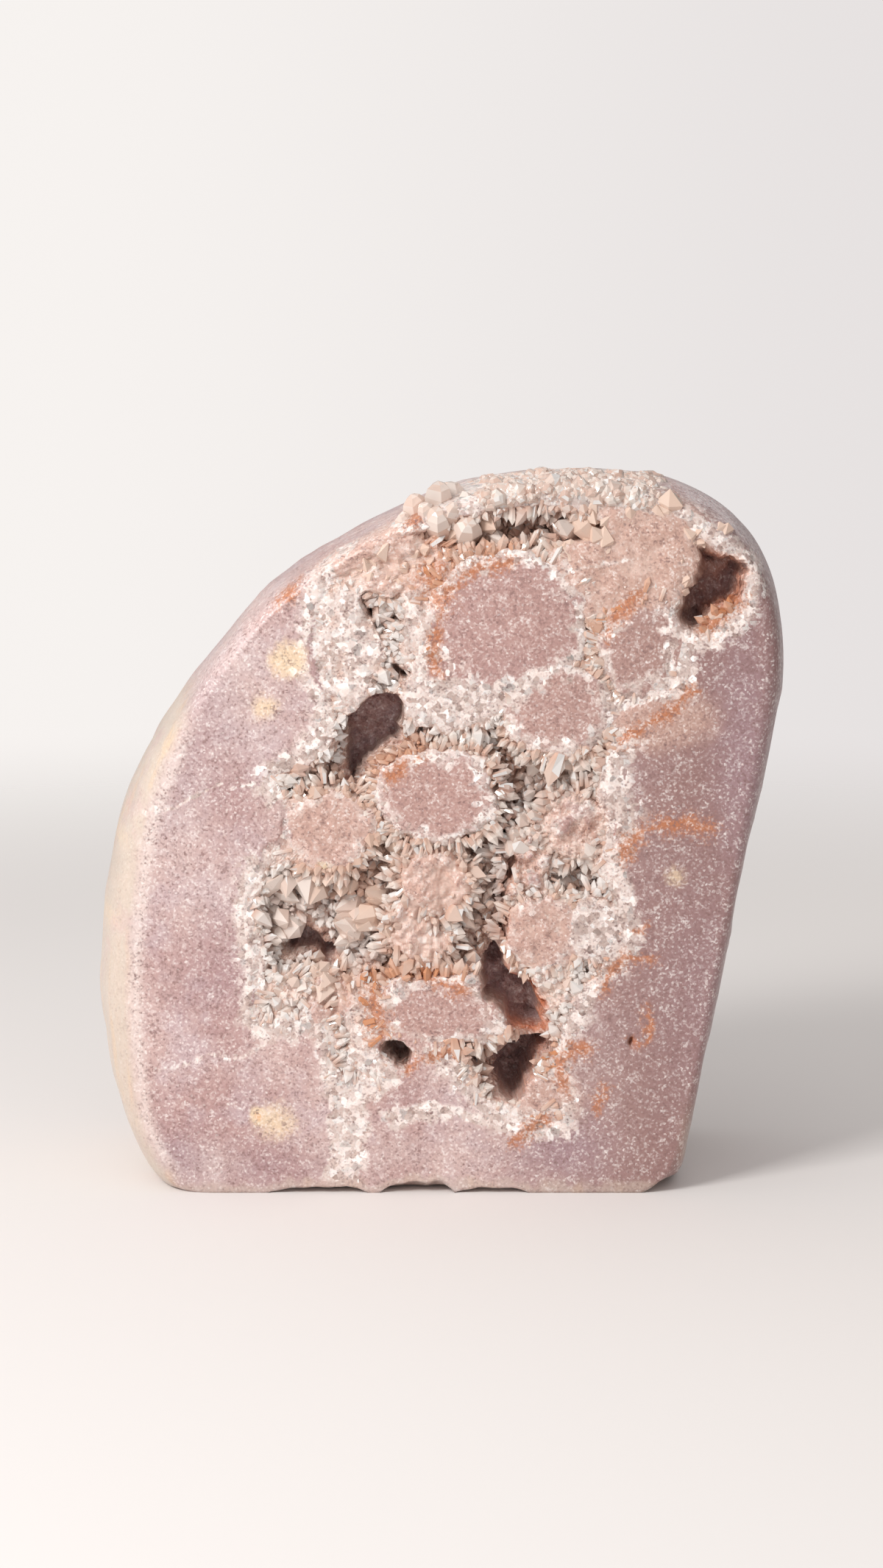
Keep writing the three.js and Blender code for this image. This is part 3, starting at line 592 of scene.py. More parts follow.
# Soft oval patches: middle, half sizes across and up, and strength
VIOLET_PATCHES = [(-38.5, 70, 9, 14, 0.55), (18.5, 7.5, 7, 5, 0.9), (45.5, 68, 5, 22, 0.8),
                  (-30, 36, 10, 9, 0.45), (40, 32, 8, 20, 0.45), (-42, 5, 6, 5, 0.8),
                  (-27, 4, 8, 4, 0.5), (-20, 80, 8, 10, 0.25)]
PALE_PATCHES = [(-36, 4.5, 6, 3.5, 0.9), (-41, 62, 6, 14, 0.5), (-32, 80, 8, 12, 0.6),
                (-34, 46, 9, 9, 0.35), (-10, 6, 12, 3.5, 0.5), (4, 19, 9, 3, 0.3),
                (10, 108.5, 20, 3.5, 1), (33, 16, 9, 7, 0.25), (-24, 60, 5, 5, 0.4)]


def bell(gap, width):
    """1 at no distance, falling off as e to the minus square of the distance over a width."""
    return np.exp(-((gap / width) ** 2))


def in_patches(x, z, patches, shaken):
    """How strongly a table of soft oval patches shows, with their edges shaken by a noise."""
    shown = np.zeros(len(x))
    for middle_x, middle_z, across_half, up_half, strength in patches:
        gap = np.hypot((x - middle_x) / across_half, (z - middle_z) / up_half) + shaken
        shown = np.maximum(shown, strength * bell(gap, 1))
    return shown


def stone_marks(points):
    """How strongly each marking shows at places on the skin, from 0 to 1: fields by distance from
    listed lines, spots and outlines, roughened with noise."""
    x, y, z = points.T
    on_front = smooth_step((-FRONT_DEPTH + 9 - y) / 6) * (y < 5)
    relief = front_relief(x, z)
    depth, in_druse, in_nodule = relief["depth"], relief["in_druse"], relief["in_nodule"]
    behind = y + FRONT_DEPTH
    rough = mottle(x + 0.8 * behind, z + 0.6 * behind, 1.4, 31)
    fine = mottle(x + 0.8 * behind, z + 0.6 * behind, 0.6, 32)
    rust = np.zeros(len(points))
    for width, line in RUST_LINES.values():
        gap = from_line(x + 0.5 * rough + 0.25 * fine, z + 0.5 * mottle(x, z, 1.4, 33), line)
        strength = np.clip(1.0 + 0.5 * mottle(x, z, 1.6, 34), 0.5, 1)
        rust = np.maximum(rust, strength * bell(gap, 0.95 * width))
        rust = np.maximum(rust, 0.65 * strength * bell(gap, 2.6 * width))
    yellow = np.zeros(len(points))
    for middle_x, middle_z, radius, strength in YELLOW_SPOTS:
        gap = np.hypot(x - middle_x + 0.5 * rough, z - middle_z + 0.4 * fine)
        yellow = np.maximum(yellow, strength * bell(gap, radius))
    border_gap = from_line(x, z, np.concatenate([druse_outline, druse_outline[:1]]))
    at_border = (in_druse < 1.6) & (in_nodule < -NODULE_RIM)
    milky = 0.95 * bell(border_gap, 2.6 + 0.9 * mottle(x, z, 5, 36)) * at_border
    nodule_rim = smooth_step((1.9 + 1.1 * rough + 0.6 * fine - in_nodule) / 2.4) * (in_druse > 0.3)
    milky = np.maximum(milky, 0.9 * nodule_rim * (1 - 0.7 * relief["peach"]))
    milky = np.maximum(milky, relief["milk"] * smooth_step(in_nodule + 1) * (in_druse > 0.3))
    shaken_z = z + 0.8 * mottle(x, z, 1.8, 35)
    for band in MILKY_BANDS.values():
        inward = into_outline(x + 0.8 * rough + 0.4 * fine, shaken_z, np.array(band))
        milky = np.maximum(milky, 0.95 * smooth_step(inward / 2.0 + 0.5))
    for line in MILKY_LINES:
        gap = from_line(x + 0.3 * rough, z + 0.3 * fine, line)
        milky = np.maximum(milky, 0.75 * bell(gap, 0.35))
    rim_inward = into_outline(x, z, front_rim)
    on_left = smooth_step((-x - 33 - 0.10 * np.abs(z - 50)) / 6)
    cream = smooth_step((-rim_inward - 0.4 + 0.3 * rough) / 1.4) * on_left
    cream *= 1 - 0.75 * smooth_step((y - 4 + 2 * rough) / 14)
    # A pale line along the left rim: a painted highlight that stands for the shine on a rounded ridge
    rim_highlight = bell(rim_inward, 1.1) * on_left * (y < -14)
    foot_line = smooth_step((2.2 - z + 0.8 * rough) / 1.5) * 0.5
    low_right = bell(np.hypot((x - 38) / 1.4, (z - 6) / 6), 1) * 0.6
    cream = np.maximum(cream, np.maximum(foot_line, low_right))
    pitted = smooth_step((-rim_inward - 1.8 + 0.5 * rough) / 1.2) * smooth_step((x - 30) / 8)
    crown = smooth_step((z - 102.5 + rough) / 3) * smooth_step((x + 4) / 4)
    crown = crown * smooth_step((36 - x) / 8) * (rim_inward < 1.5)
    milky = np.maximum(milky * on_front, crown * smooth_step((5 - y + 3 * rough) / 6))
    return {
        "druse": smooth_step((depth - 0.25) / 0.5) * on_front,
        "hollow": relief["dark"] * on_front,
        "rusty": relief["rusty"] * on_front,
        "milky": milky,
        "rust": rust * np.maximum(on_front, 0.4),
        "yellow": yellow,
        "peach": relief["peach"] * smooth_step(in_nodule / 3 + 1.5) * on_front,
        "disc": smooth_step(in_nodule / 1.2 + 0.5) * (in_druse > 0) * on_front,
        "violet": in_patches(x, z, VIOLET_PATCHES, 0.15 * rough) * np.maximum(on_front, 0.5),
        "cream": cream,
        "pitted": pitted * (y < 12),
        "rim_highlight": rim_highlight,
        # Darker toward the right: painted shade where the lamp's light falls off, with some darker
        # stone too
        "right_tone_and_shade": smooth_step((x - 4 + 0.10 * (60 - z)) / 38),
        "pale": in_patches(x, z, PALE_PATCHES, 0.2 * rough),
    }


def carry_marks(piece, marks):
    """Stores each marking on the mesh, one number for each of its points."""
    for name, values in marks.items():
        attribute = piece.data.attributes.new(name, "FLOAT", "POINT")
        attribute.data.foreach_set("value", np.asarray(values, np.float32))


carry_marks(polished_stone, stone_marks(np.concatenate([skin.reshape(-1, 3), ends])))


def mark(tree, name):
    """The value of a marking that the mesh carries."""
    return added(tree, "ShaderNodeAttribute", {"attribute_name": name}).outputs["Fac"]


def noise(tree, place, scale, detail, roughness):
    """Noise from 0 to 1, with about so many lumps to the metre."""
    node = added(tree, "ShaderNodeTexNoise", Vector=place, Scale=scale)
    return put(node, Detail=detail, Roughness=roughness).outputs["Fac"]


def cells(tree, place, scale, distance="EUCLIDEAN"):
    """A chance colour for each of the cells, of which about so many go into a metre."""
    node = added(tree, "ShaderNodeTexVoronoi", {"distance": distance}, Vector=place, Scale=scale)
    return node.outputs["Color"]


# The grain under the polish: how many grains go into a metre, and what they turn toward,
# the last being a painted glint
GRAIN_SCALE = 3200.0
GRAIN_DARK = (0.26, 0.15, 0.14, 1)
GRAIN_LIGHT = (1.0, 0.93, 0.90, 1)
PAINTED_GRAIN_GLINT = (1.0, 0.96, 0.94, 1)


def sugar_grain_group():
    """Interlocked quartz grains under the polish: each grain is a little lighter or darker, a few carry
    a painted glint, and they stand a hair up or down. Noise and cells in the stone's own coordinates."""
    group = bpy.data.node_groups.new("sugar_grain", "ShaderNodeTree")
    for name, kind in (("Colour", "NodeSocketColor"), ("Contrast", "NodeSocketFloat")):
        group.interface.new_socket(name, in_out="INPUT", socket_type=kind)
    for name, kind in (("Colour", "NodeSocketColor"), ("Height", "NodeSocketFloat")):
        group.interface.new_socket(name, in_out="OUTPUT", socket_type=kind)
    given = added(group, "NodeGroupInput")
    place = added(group, "ShaderNodeTexCoord").outputs["Object"]
    grains = added(group, "ShaderNodeSeparateColor", Color=cells(group, place, GRAIN_SCALE))
    cloud = noise(group, place, 2200.0, 3.0, 0.6)
    level = worked(group, "MULTIPLY_ADD", grains.outputs["Red"], 1.2, -0.6)
    for lumps, strength in ((cloud, 1.9), (noise(group, place, 480.0, 5.0, 0.7), 2.2)):
        centred = worked(group, "SUBTRACT", lumps, 0.5)
        level = worked(group, "MULTIPLY_ADD", centred, strength, level)
    level = worked(group, "MULTIPLY", level, given.outputs["Contrast"])
    colour = mixed(group, ranged(group, level, 0.0, -1.7), given.outputs["Colour"], GRAIN_DARK)
    colour = mixed(group, ranged(group, level, 0.0, 2.1), colour, GRAIN_LIGHT)
    # A few grains get a painted glint, a white fleck that stands for a sparkle of light
    bright = ranged(group, grains.outputs["Green"], 0.96, 1.0, 0.0, 0.22)
    glint = worked(group, "MULTIPLY", bright, given.outputs["Contrast"])
    colour = mixed(group, glint, colour, PAINTED_GRAIN_GLINT)
    height = worked(group, "ADD", grains.outputs["Blue"], cloud)
    added(group, "NodeGroupOutput", Colour=colour, Height=height)
    return group


sugar_grain = sugar_grain_group()

# Colours of the stone
MAUVE = (0.50, 0.305, 0.29, 1)
PALE_ROSE = (0.66, 0.47, 0.44, 1)
LILAC = (0.40, 0.26, 0.285, 1)
LILAC_GREY = (0.60, 0.47, 0.50, 1)
PEACH = (0.70, 0.46, 0.37, 1)
CREAM = (0.66, 0.56, 0.47, 1)
CREAM_STREAK = (0.78, 0.58, 0.38, 1)
MILK = (0.93, 0.83, 0.78, 1)
MILK_SHADE = (0.72, 0.56, 0.50, 1)
# The painted glint on a few milky quartz facets
MILK_PAINTED_GLINT = (0.97, 0.92, 0.89, 1)
AMBER = (0.88, 0.68, 0.46, 1)
RUST = (0.54, 0.20, 0.09, 1)
# Near black for the hollows: partly a smoky stain, partly painted shade in the recess
SMOKY_STAIN_AND_SHADE = (0.05, 0.012, 0.008, 1)
DISC_ROSE = (0.47, 0.27, 0.245, 1)
# The colour of the painted shade toward the right, with some darker stone
DARK_STONE_AND_SHADE = (0.34, 0.195, 0.18, 1)
PALE = (0.74, 0.60, 0.57, 1)
RUSTY_WALL = (0.66, 0.19, 0.065, 1)
UNDER_POINTS = (0.76, 0.48, 0.37, 1)
GREY_PIT = (0.74, 0.65, 0.66, 1)
GLASSY_PALE = (0.80, 0.60, 0.52, 1)
GLASSY_ROSE = (0.68, 0.46, 0.38, 1)
AMBER_CORE = (0.84, 0.46, 0.20, 1)
# The colour of the painted highlight along the left rim
PAINTED_RIM_HIGHLIGHT = (0.86, 0.74, 0.69, 1)
# How many painted crystal faces go into a metre, and how many broad glassy ones
FACET_SCALE = 950.0
BROAD_SCALE = 380.0

rose_stone = bpy.data.materials.new("rose_stone")
tree, shader = surface_of(rose_stone)
place = added(tree, "ShaderNodeTexCoord").outputs["Object"]
drift = noise(tree, place, 38.0, 4.0, 0.6)
veil = noise(tree, place, 110.0, 5.0, 0.65)
crumb = noise(tree, place, 900.0, 3.0, 0.6)
speck = noise(tree, place, 1900.0, 3.0, 0.7)
upright = worked_vector(tree, "MULTIPLY", place, (1.0, 1.0, 0.12))
streak = noise(tree, upright, 260.0, 4.0, 0.6)


def laid(under, value, share, over):
    """A colour laid over another where a marking or value shows, at a share of its strength."""
    shown = mark(tree, value) if isinstance(value, str) else value
    return mixed(tree, worked(tree, "MULTIPLY", shown, share), under, over)


def broken(name, softness):
    """A marking with its edge broken up by the finest noise."""
    shaken = worked(tree, "MULTIPLY_ADD", speck, softness, mark(tree, name))
    return ranged(tree, shaken, 0.25 + softness / 2, 0.85 + softness / 2)


colour = mixed(tree, ranged(tree, drift, 0.38, 0.62), MAUVE, PALE_ROSE)
colour = mixed(tree, ranged(tree, veil, 0.43, 0.68, 0.0, 0.6), colour, LILAC_GREY)
# The darkening toward the right is painted shade where the lamp's light falls off, with some darker
# stone
for name, share, over in (("pale", 0.8, PALE), ("disc", 0.8, DISC_ROSE), ("right_tone_and_shade", 1.0, DARK_STONE_AND_SHADE),
                          ("violet", 1.0, LILAC), ("peach", 0.75, PEACH)):
    colour = laid(colour, name, share, over)
cream = mixed(tree, ranged(tree, streak, 0.5, 0.72, 0.0, 0.8), CREAM, CREAM_STREAK)
cream = mixed(tree, ranged(tree, veil, 0.5, 0.7, 0.0, 0.6), cream, PALE_ROSE)
# The rim line laid here is a painted highlight, not a raised ridge
for name, share, over in (("cream", 0.9, cream), ("pitted", 0.7, GREY_PIT), ("rim_highlight", 0.7, PAINTED_RIM_HIGHLIGHT)):
    colour = laid(colour, name, share, over)
facets = cells(tree, place, FACET_SCALE, "MANHATTAN")
broad = cells(tree, place, BROAD_SCALE, "MANHATTAN")
facet_chance = added(tree, "ShaderNodeSeparateColor", Color=facets)
broad_chance = added(tree, "ShaderNodeSeparateColor", Color=broad)
glassy = worked(tree, "MULTIPLY", mark(tree, "druse"), mark(tree, "peach"))
glassy_tone = mixed(tree, broad_chance.outputs["Red"], GLASSY_PALE, GLASSY_ROSE)
colour = laid(colour, glassy, 0.85, glassy_tone)
# Milky quartz is painted as facets: each cell is a lit or a shaded copy of the milk, as painted light
# and shade, and a few carry a painted glint
quartz = mixed(tree, facet_chance.outputs["Red"], MILK, MILK_SHADE)
quartz = laid(quartz, ranged(tree, facet_chance.outputs["Green"], 0.80, 0.9), 0.8, MILK_PAINTED_GLINT)
milk_shown = worked(tree, "MULTIPLY_ADD", facet_chance.outputs["Blue"], 0.5, mark(tree, "milky"))
milk_shown = worked(tree, "MULTIPLY", ranged(tree, milk_shown, 0.45, 1.05), 0.9)
colour = mixed(tree, milk_shown, colour, quartz)
colour = laid(colour, broken("yellow", 0.6), 0.85, AMBER)
colour = mixed(tree, ranged(tree, mark(tree, "yellow"), 1.05, 1.5, 0.0, 0.9), colour, AMBER_CORE)
colour = laid(colour, worked(tree, "SUBTRACT", mark(tree, "druse"), glassy), 0.6, UNDER_POINTS)
colour = laid(colour, broken("rust", 1.7), 0.95, RUST)
# Hollows are painted near black: partly a smoky stain, partly painted shade in the recess
colour = mixed(tree, mark(tree, "hollow"), colour, SMOKY_STAIN_AND_SHADE)
colour = mixed(tree, mark(tree, "rusty"), colour, RUSTY_WALL)
contrast = 1.3
for value, share in ((mark(tree, "hollow"), -1.1), (mark(tree, "cream"), -0.7), (glassy, -0.7)):
    contrast = worked(tree, "MULTIPLY_ADD", value, share, contrast)
contrast = worked(tree, "MAXIMUM", contrast, 0.1)
grain = added(tree, "ShaderNodeGroup", {"node_tree": sugar_grain}, Colour=colour, Contrast=contrast)
unpolished = worked(tree, "MAXIMUM", mark(tree, "pitted"), mark(tree, "hollow"))
roughness = ranged(tree, unpolished, 0.2, 0.8, 0.33, 0.65)
pits = ranged(tree, noise(tree, place, 1100.0, 2.0, 0.5), 0.35, 0.5)
height = worked(tree, "MULTIPLY", pits, mark(tree, "pitted"))
height = worked(tree, "MULTIPLY_ADD", grain.outputs["Height"], 0.12, height)
crumbs = worked(tree, "MULTIPLY", crumb, mark(tree, "druse"))
height = worked(tree, "MULTIPLY_ADD", crumbs, 2.0, height)

# Where fine crystals are painted, each cell's face is tilted its own way
tilt = worked_vector(tree, "SUBTRACT", mixed(tree, glassy, facets, broad), (0.5, 0.5, 0.5))
tilt_share = worked(tree, "MAXIMUM", milk_shown, mark(tree, "druse"))
tilt_share = worked(tree, "SUBTRACT", worked(tree, "MULTIPLY", tilt_share, 1.1), glassy)
tilt_share = worked(tree, "MAXIMUM", tilt_share, 0.0)
tilt = worked_vector(tree, "MULTIPLY", tilt, tilt_share)
skin_normal = added(tree, "ShaderNodeNewGeometry").outputs["Normal"]
facing = worked_vector(tree, "NORMALIZE", worked_vector(tree, "ADD", skin_normal, tilt))
bump = added(tree, "ShaderNodeBump", Height=height, Strength=0.35, Distance=0.0003, Normal=facing)
put(shader, Base_Color=grain.outputs["Colour"], Roughness=roughness, Normal=bump.outputs["Normal"])
put(shader, Subsurface_Weight=0.2, Subsurface_Radius=(1.0, 0.55, 0.45), Subsurface_Scale=0.0025)
put(shader, Specular_IOR_Level=0.5)
polished_stone.data.materials.append(rose_stone)
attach(polished_stone, "root")
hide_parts("stone")


# The quartz points of the druse
# Small clear to milky crystals that grew into the open space: they stand off the nodules' flanks and
# off the bed of the druse, and the polish stops just above their tips. Blunt ones cover the rounded
# edge at the top, which was never ground.
POINT_SPACING = 0.85
FRINGE_SPACING = 0.30
# About how far the front's rim lies from its middle, to either side
FRONT_HALF = 46


def unit(vectors):
    """The vectors, each drawn to length 1."""
    return vectors / np.linalg.norm(vectors, axis=1, keepdims=True)


def quartz_points(name, roots, toward, radii, lengths, chance, blunt=False, top=None):
    """Six-sided crystals: a ring at the root, a wider ring at the shoulder, for a blunt one two
    rings up its rounded cap, and a tip. Each ring is the crystal's axis plus the cosine and sine of
    six turns along two directions square to it, times a radius that differs from corner to corner.
    The polish cuts off what stands above top. Each point carries how far up its crystal it is, and
    each face one number from chance, which sets the painted light and shade of that face."""
    count = len(roots)
    axis = unit(toward)
    helper = np.where(np.abs(axis[:, 2:]) < 0.9, [[0.0, 0.0, 1.0]], [[1.0, 0.0, 0.0]])
    side = unit(np.cross(axis, helper))
    upward = np.cross(axis, side)
    turn = (np.arange(6) + chance.uniform(0, 1, (count, 1))) * math.pi / 3
    corner = np.cos(turn)[..., None] * side[:, None] + np.sin(turn)[..., None] * upward[:, None]
    corner = corner * (radii[:, None] * chance.uniform(0.72, 1.2, (count, 6)))[..., None]
    cap = np.minimum((1.0 if blunt else 1.5) * radii, 0.7 * lengths)
    slant = chance.uniform(-0.35, 0.35, (count, 6)) * radii[:, None]
    rings = [roots[:, None] + 0.8 * corner,
             roots[:, None] + axis[:, None] * ((lengths - cap)[:, None] + slant)[..., None] + corner]
    for under_tip, slanted, wide in ((0.4, 0.6, 0.82), (0.08, 0.2, 0.46)) if blunt else ():
        height = (lengths - under_tip * cap)[:, None] + slanted * slant
        rings.append(roots[:, None] + axis[:, None] * height[..., None] + wide * corner)
    tip = roots + axis * lengths[:, None] + 0.2 * corner[:, 0]
    points = np.concatenate([*rings, tip[:, None]], 1)
    if top is not None:
        points[:, :, 1] = np.maximum(points[:, :, 1], top[:, None])

    each = points.shape[1]
    first = (np.arange(count) * each)[:, None, None]
    here = np.arange(6)
    after = np.roll(here, -1)
    start = np.arange(0, each - 7, 6)[:, None]
    walls = np.stack([start + here, start + after, start + after + 6, start + here + 6], 2)
    facets = np.stack([here + each - 7, after + each - 7, np.full(6, each - 1)], 1)
    polygons = [(first + walls.reshape(-1, 4)).reshape(-1, 4), (first + facets).reshape(-1, 3),
                (first + here[::-1][None]).reshape(-1, 6)]
    piece = mesh_object(name, (points.reshape(-1, 3) + HOME) * MILLIMETRE, polygons, False)
    rise = [0.0, 0.7, 0.9, 1.0, 1.0] if blunt else [0.0, 0.8, 1.0]
    carry_marks(piece, {"rise": np.tile(np.repeat(rise, [6] * (each // 6) + [1]), count)})
    # Each face's number sets how lit, shaded or glinting the face is painted
    face_light = piece.data.attributes.new("painted_face_light", "FLOAT", "FACE")
    face_lights = chance.uniform(0, 1, len(piece.data.polygons))
    face_light.data.foreach_set("value", face_lights.astype(np.float32))
    return piece


def slope_of(x, z):
    """How fast the relief gets deeper, across and up."""
    step = 0.35
    across = front_relief(x + step, z)["depth"] - front_relief(x - step, z)["depth"]
    up = front_relief(x, z + step)["depth"] - front_relief(x, z - step)["depth"]
    return across / (2 * step), up / (2 * step)


def front_height(x, z):
    """Where the polished front lies at places x, z, before the relief: its crown over the rim."""
    rim = closed_curve(FRONT_RIM, 180)
    inward = into_outline(x, z, rim)
    share = np.clip(1 - inward / FRONT_HALF, 0, 1)
    return -FRONT_DEPTH - FRONT_CROWN * (1 - share**2.5)


def bed_points(chance):
    """Crystals that stand on the bed of the druse, spread over a shaken grid. They grew square to the
    bed, more or less, and reach no further than the polish. It gives the relief at their places, the
    places, their roots, directions, radii and lengths, and where the polish lies."""
    grid_x, grid_z = np.meshgrid(np.arange(-32, 48, POINT_SPACING), np.arange(9, 109, POINT_SPACING))
    x = (grid_x + chance.uniform(-0.5, 0.5, grid_x.shape) * POINT_SPACING).ravel()
    z = (grid_z + chance.uniform(-0.5, 0.5, grid_z.shape) * POINT_SPACING).ravel()
    relief = front_relief(x, z)
    near_top = (x > -1) & (x < 34)
    bare_share = 0.94 - 0.15 * relief["milk"] + 0.06 * relief["peach"]
    bare = (relief["in_nodule"] > -1.0) & (chance.uniform(0, 1, len(x)) < bare_share)
    keep = (relief["depth"] > 0.5) & (relief["in_druse"] > -0.3) & (relief["in_dark"] < -0.3) & ~bare
    keep &= into_outline(x, z, front_rim) > np.where(near_top, 0.4, 2.0)
    x, z = x[keep], z[keep]
    relief = {name: values[keep] for name, values in relief.items()}
    surface = front_height(x, z)
    slope_x, slope_z = slope_of(x, z)
    toward = unit(np.stack([0.7 * slope_x, -1.2 + 0 * x, 0.7 * slope_z], 1))
    toward = unit(toward + chance.normal(0, 0.36, toward.shape))
    toward[:, 1] = np.minimum(toward[:, 1], -0.1)
    radii = chance.uniform(0.35, 0.8, len(x))
    radii *= np.where(chance.uniform(0, 1, len(x)) < 0.05, 1.8, 1)
    lengths = radii * chance.uniform(1.6, 3.4, len(x)) + 0.7
    lengths = np.minimum(lengths, (relief["depth"] + 0.7) / np.maximum(-toward[:, 1], 0.3))
    roots = np.stack([x, surface + relief["depth"], z], 1) - 0.7 * toward
    return relief, x, z, roots, toward, radii, lengths, surface


def fringe_points(chance):
    """Crystals that stand side by side round each nodule and along the edge of the druse. They lie
    just under the polish and point into the open space. It gives the same as bed_points."""
    edges = []
    for middle_x, middle_z, across_half, up_half, sink, peach, milk in NODULES.values():
        turns = np.arange(0, 2 * math.pi, 2 * FRINGE_SPACING / (across_half + up_half))
        edges.append(np.stack([middle_x + (across_half + NODULE_RIM) * np.cos(turns),
                               middle_z + (up_half + NODULE_RIM) * np.sin(turns),
                               np.cos(turns), np.sin(turns), np.full(len(turns), sink)], 1))
    border = closed_curve(DRUSE, 900)
    way = unit(np.roll(border, -1, 0) - np.roll(border, 1, 0))
    edges.append(np.column_stack([border, way[:, 1], -way[:, 0], np.zeros(len(border))]))
    edge_x, edge_z, out_x, out_z, sink = np.concatenate(edges).T
    count = len(sink)
    toward = np.stack([out_x, chance.uniform(-0.45, 0.5, count), out_z], 1)
    toward = unit(toward + chance.normal(0, 0.3, toward.shape) * [1, 0.3, 1])
    shift = chance.uniform(-1.4, 1.4, count)
    x, z = edge_x + shift * out_x, edge_z + shift * out_z
    relief = front_relief(x, z)
    radii = chance.uniform(0.3, 0.8, count)
    lengths = chance.uniform(1.6, 3.2, count)
    top = front_height(x, z) + sink
    y = top + radii + np.maximum(-toward[:, 1], 0) * lengths + chance.uniform(-0.1, 0.7, count)
    tip_relief = front_relief(x + toward[:, 0] * lengths, z + toward[:, 2] * lengths)
    near_top = (x > -1) & (x < 34)
    keep = (relief["in_druse"] > -1.6) & (relief["in_dark"] < -0.2) & (tip_relief["in_dark"] < 0.35)
    keep &= into_outline(x, z, front_rim) > np.where(near_top, 0.6, 2.4)
    relief = {name: values[keep] for name, values in relief.items()}
    made = (x, z, np.stack([x, y, z], 1), toward, radii, lengths)
    return relief, *(values[keep] for values in made), top[keep] + chance.uniform(0.0, 0.25, keep.sum())


# The crown: how far it reaches to either side and back, the height it starts at, how deep the
# crystals are sunk, how many there are, and how many places are tried for them
CROWN_REACH = (6.0, 33.0)
CROWN_BACK = -1.0
CROWN_LOWEST = 101
CROWN_SUNK = 1.9
CROWN_COUNT = 640
CROWN_TRIES = 30 * CROWN_COUNT


def crown_points(chance):
    """The lumpy crystals on the rounded edge at the top. Their roots are spread evenly between the
    rings of the skin, in a patch with a ragged end on either side and behind. Each points out of the
    skin, more upward the further back it stands. It gives their roots, directions, radii, lengths."""
    rings = skin[FRONT_RINGS - 1:FRONT_RINGS + FRONT_EDGE_RINGS + BACK_EDGE_RINGS]
    gaps = np.linalg.norm(np.diff(rings, axis=0), axis=2).max(1)
    column = chance.integers(0, AROUND, CROWN_TRIES)
    row = chance.choice(len(gaps), CROWN_TRIES, p=gaps / gaps.sum())
    share = chance.uniform(0, 1, CROWN_TRIES)[:, None]
    roots = rings[row, column] * (1 - share) + rings[row + 1, column] * share
    x, y, z = roots.T
    ragged = 3 * mottle(x, y, 3.0, 51)
    keep = (z > CROWN_LOWEST) & (y < CROWN_BACK + ragged)
    keep &= (x > CROWN_REACH[0] - ragged) & (x < CROWN_REACH[1] + ragged)
    roots = roots[keep][:CROWN_COUNT]
    x, y, z = roots.T
    lean = np.clip((y + FRONT_DEPTH) / FRONT_DEPTH, 0, 1) ** 0.5 * math.pi / 2
    toward = np.stack([0.012 * (x - 14), -np.cos(lean), np.sin(lean) + 0.1], 1)
    toward = unit(toward + chance.normal(0, 0.22, toward.shape))
    lengths = chance.uniform(1.7, 2.25, len(roots))
    roots = roots + chance.normal(0, 0.3, roots.shape) - toward * CROWN_SUNK
    return roots, toward, chance.uniform(0.7, 1.7, len(roots)), lengths


chance = np.random.default_rng(23)
bed_relief, *bed = bed_points(chance)
fringe_relief, *fringe = fringe_points(chance)
crown = crown_points(chance)
x, z, roots, toward, radii, lengths, top = (np.concatenate(pair) for pair in zip(bed, fringe))
relief = {name: np.concatenate([bed_relief[name], fringe_relief[name]]) for name in bed_relief}
is_fringe = np.arange(len(x)) >= len(bed[0])
root_marks = stone_marks(np.stack([x, np.full(len(x), -FRONT_DEPTH - 1.0), z], 1))

milky_quartz = bpy.data.materials.new("milky_quartz")
tree, shader = surface_of(milky_quartz)
# A crystal is nearly white at its tip and rosy at its root, and each face is painted lighter or
# darker at random, as painted reflections and shade, with a painted white glint on a few
CLEAR_WHITE = (0.98, 0.89, 0.82, 1)
ROSY_QUARTZ = (0.76, 0.53, 0.44, 1)
DEEP_QUARTZ = (0.80, 0.50, 0.38, 1)
# The painted glint on a few crystal faces
PAINTED_FACE_GLINT = (1.0, 0.97, 0.95, 1)
MILKY_WHITE = (1.0, 0.95, 0.92, 1)
PEACH_QUARTZ = (0.84, 0.59, 0.47, 1)
SMOKY_QUARTZ_AND_SHADE = (0.30, 0.13, 0.10, 1)
RUSTY_QUARTZ = (0.76, 0.34, 0.17, 1)
face_shade_and_tone = worked(tree, "SUBTRACT", mark(tree, "painted_face_light"), 0.5)
face_shade_and_tone = worked(tree, "MULTIPLY_ADD", face_shade_and_tone, 0.8, mark(tree, "tone"))
colour = mixed(tree, ranged(tree, face_shade_and_tone, 0.0, 1.0), CLEAR_WHITE, ROSY_QUARTZ)
colour = mixed(tree, mark(tree, "peach"), colour, PEACH_QUARTZ)
colour = mixed(tree, mark(tree, "milky"), colour, MILKY_WHITE)
colour = mixed(tree, ranged(tree, mark(tree, "rise"), 0.0, 0.9, 0.8, 0.0), colour, DEEP_QUARTZ)
# Crystals in the hollows take a near black colour: partly a smoky stain, partly painted shade
colour = mixed(tree, mark(tree, "hollow"), colour, SMOKY_QUARTZ_AND_SHADE)
colour = mixed(tree, mark(tree, "rust"), colour, RUSTY_QUARTZ)
# Faces with the lowest numbers carry a painted white glint
colour = mixed(tree, ranged(tree, mark(tree, "painted_face_light"), 0.10, 0.05), colour, PAINTED_FACE_GLINT)
put(shader, Base_Color=colour, Roughness=0.07, IOR=1.54, Transmission_Weight=0.25)


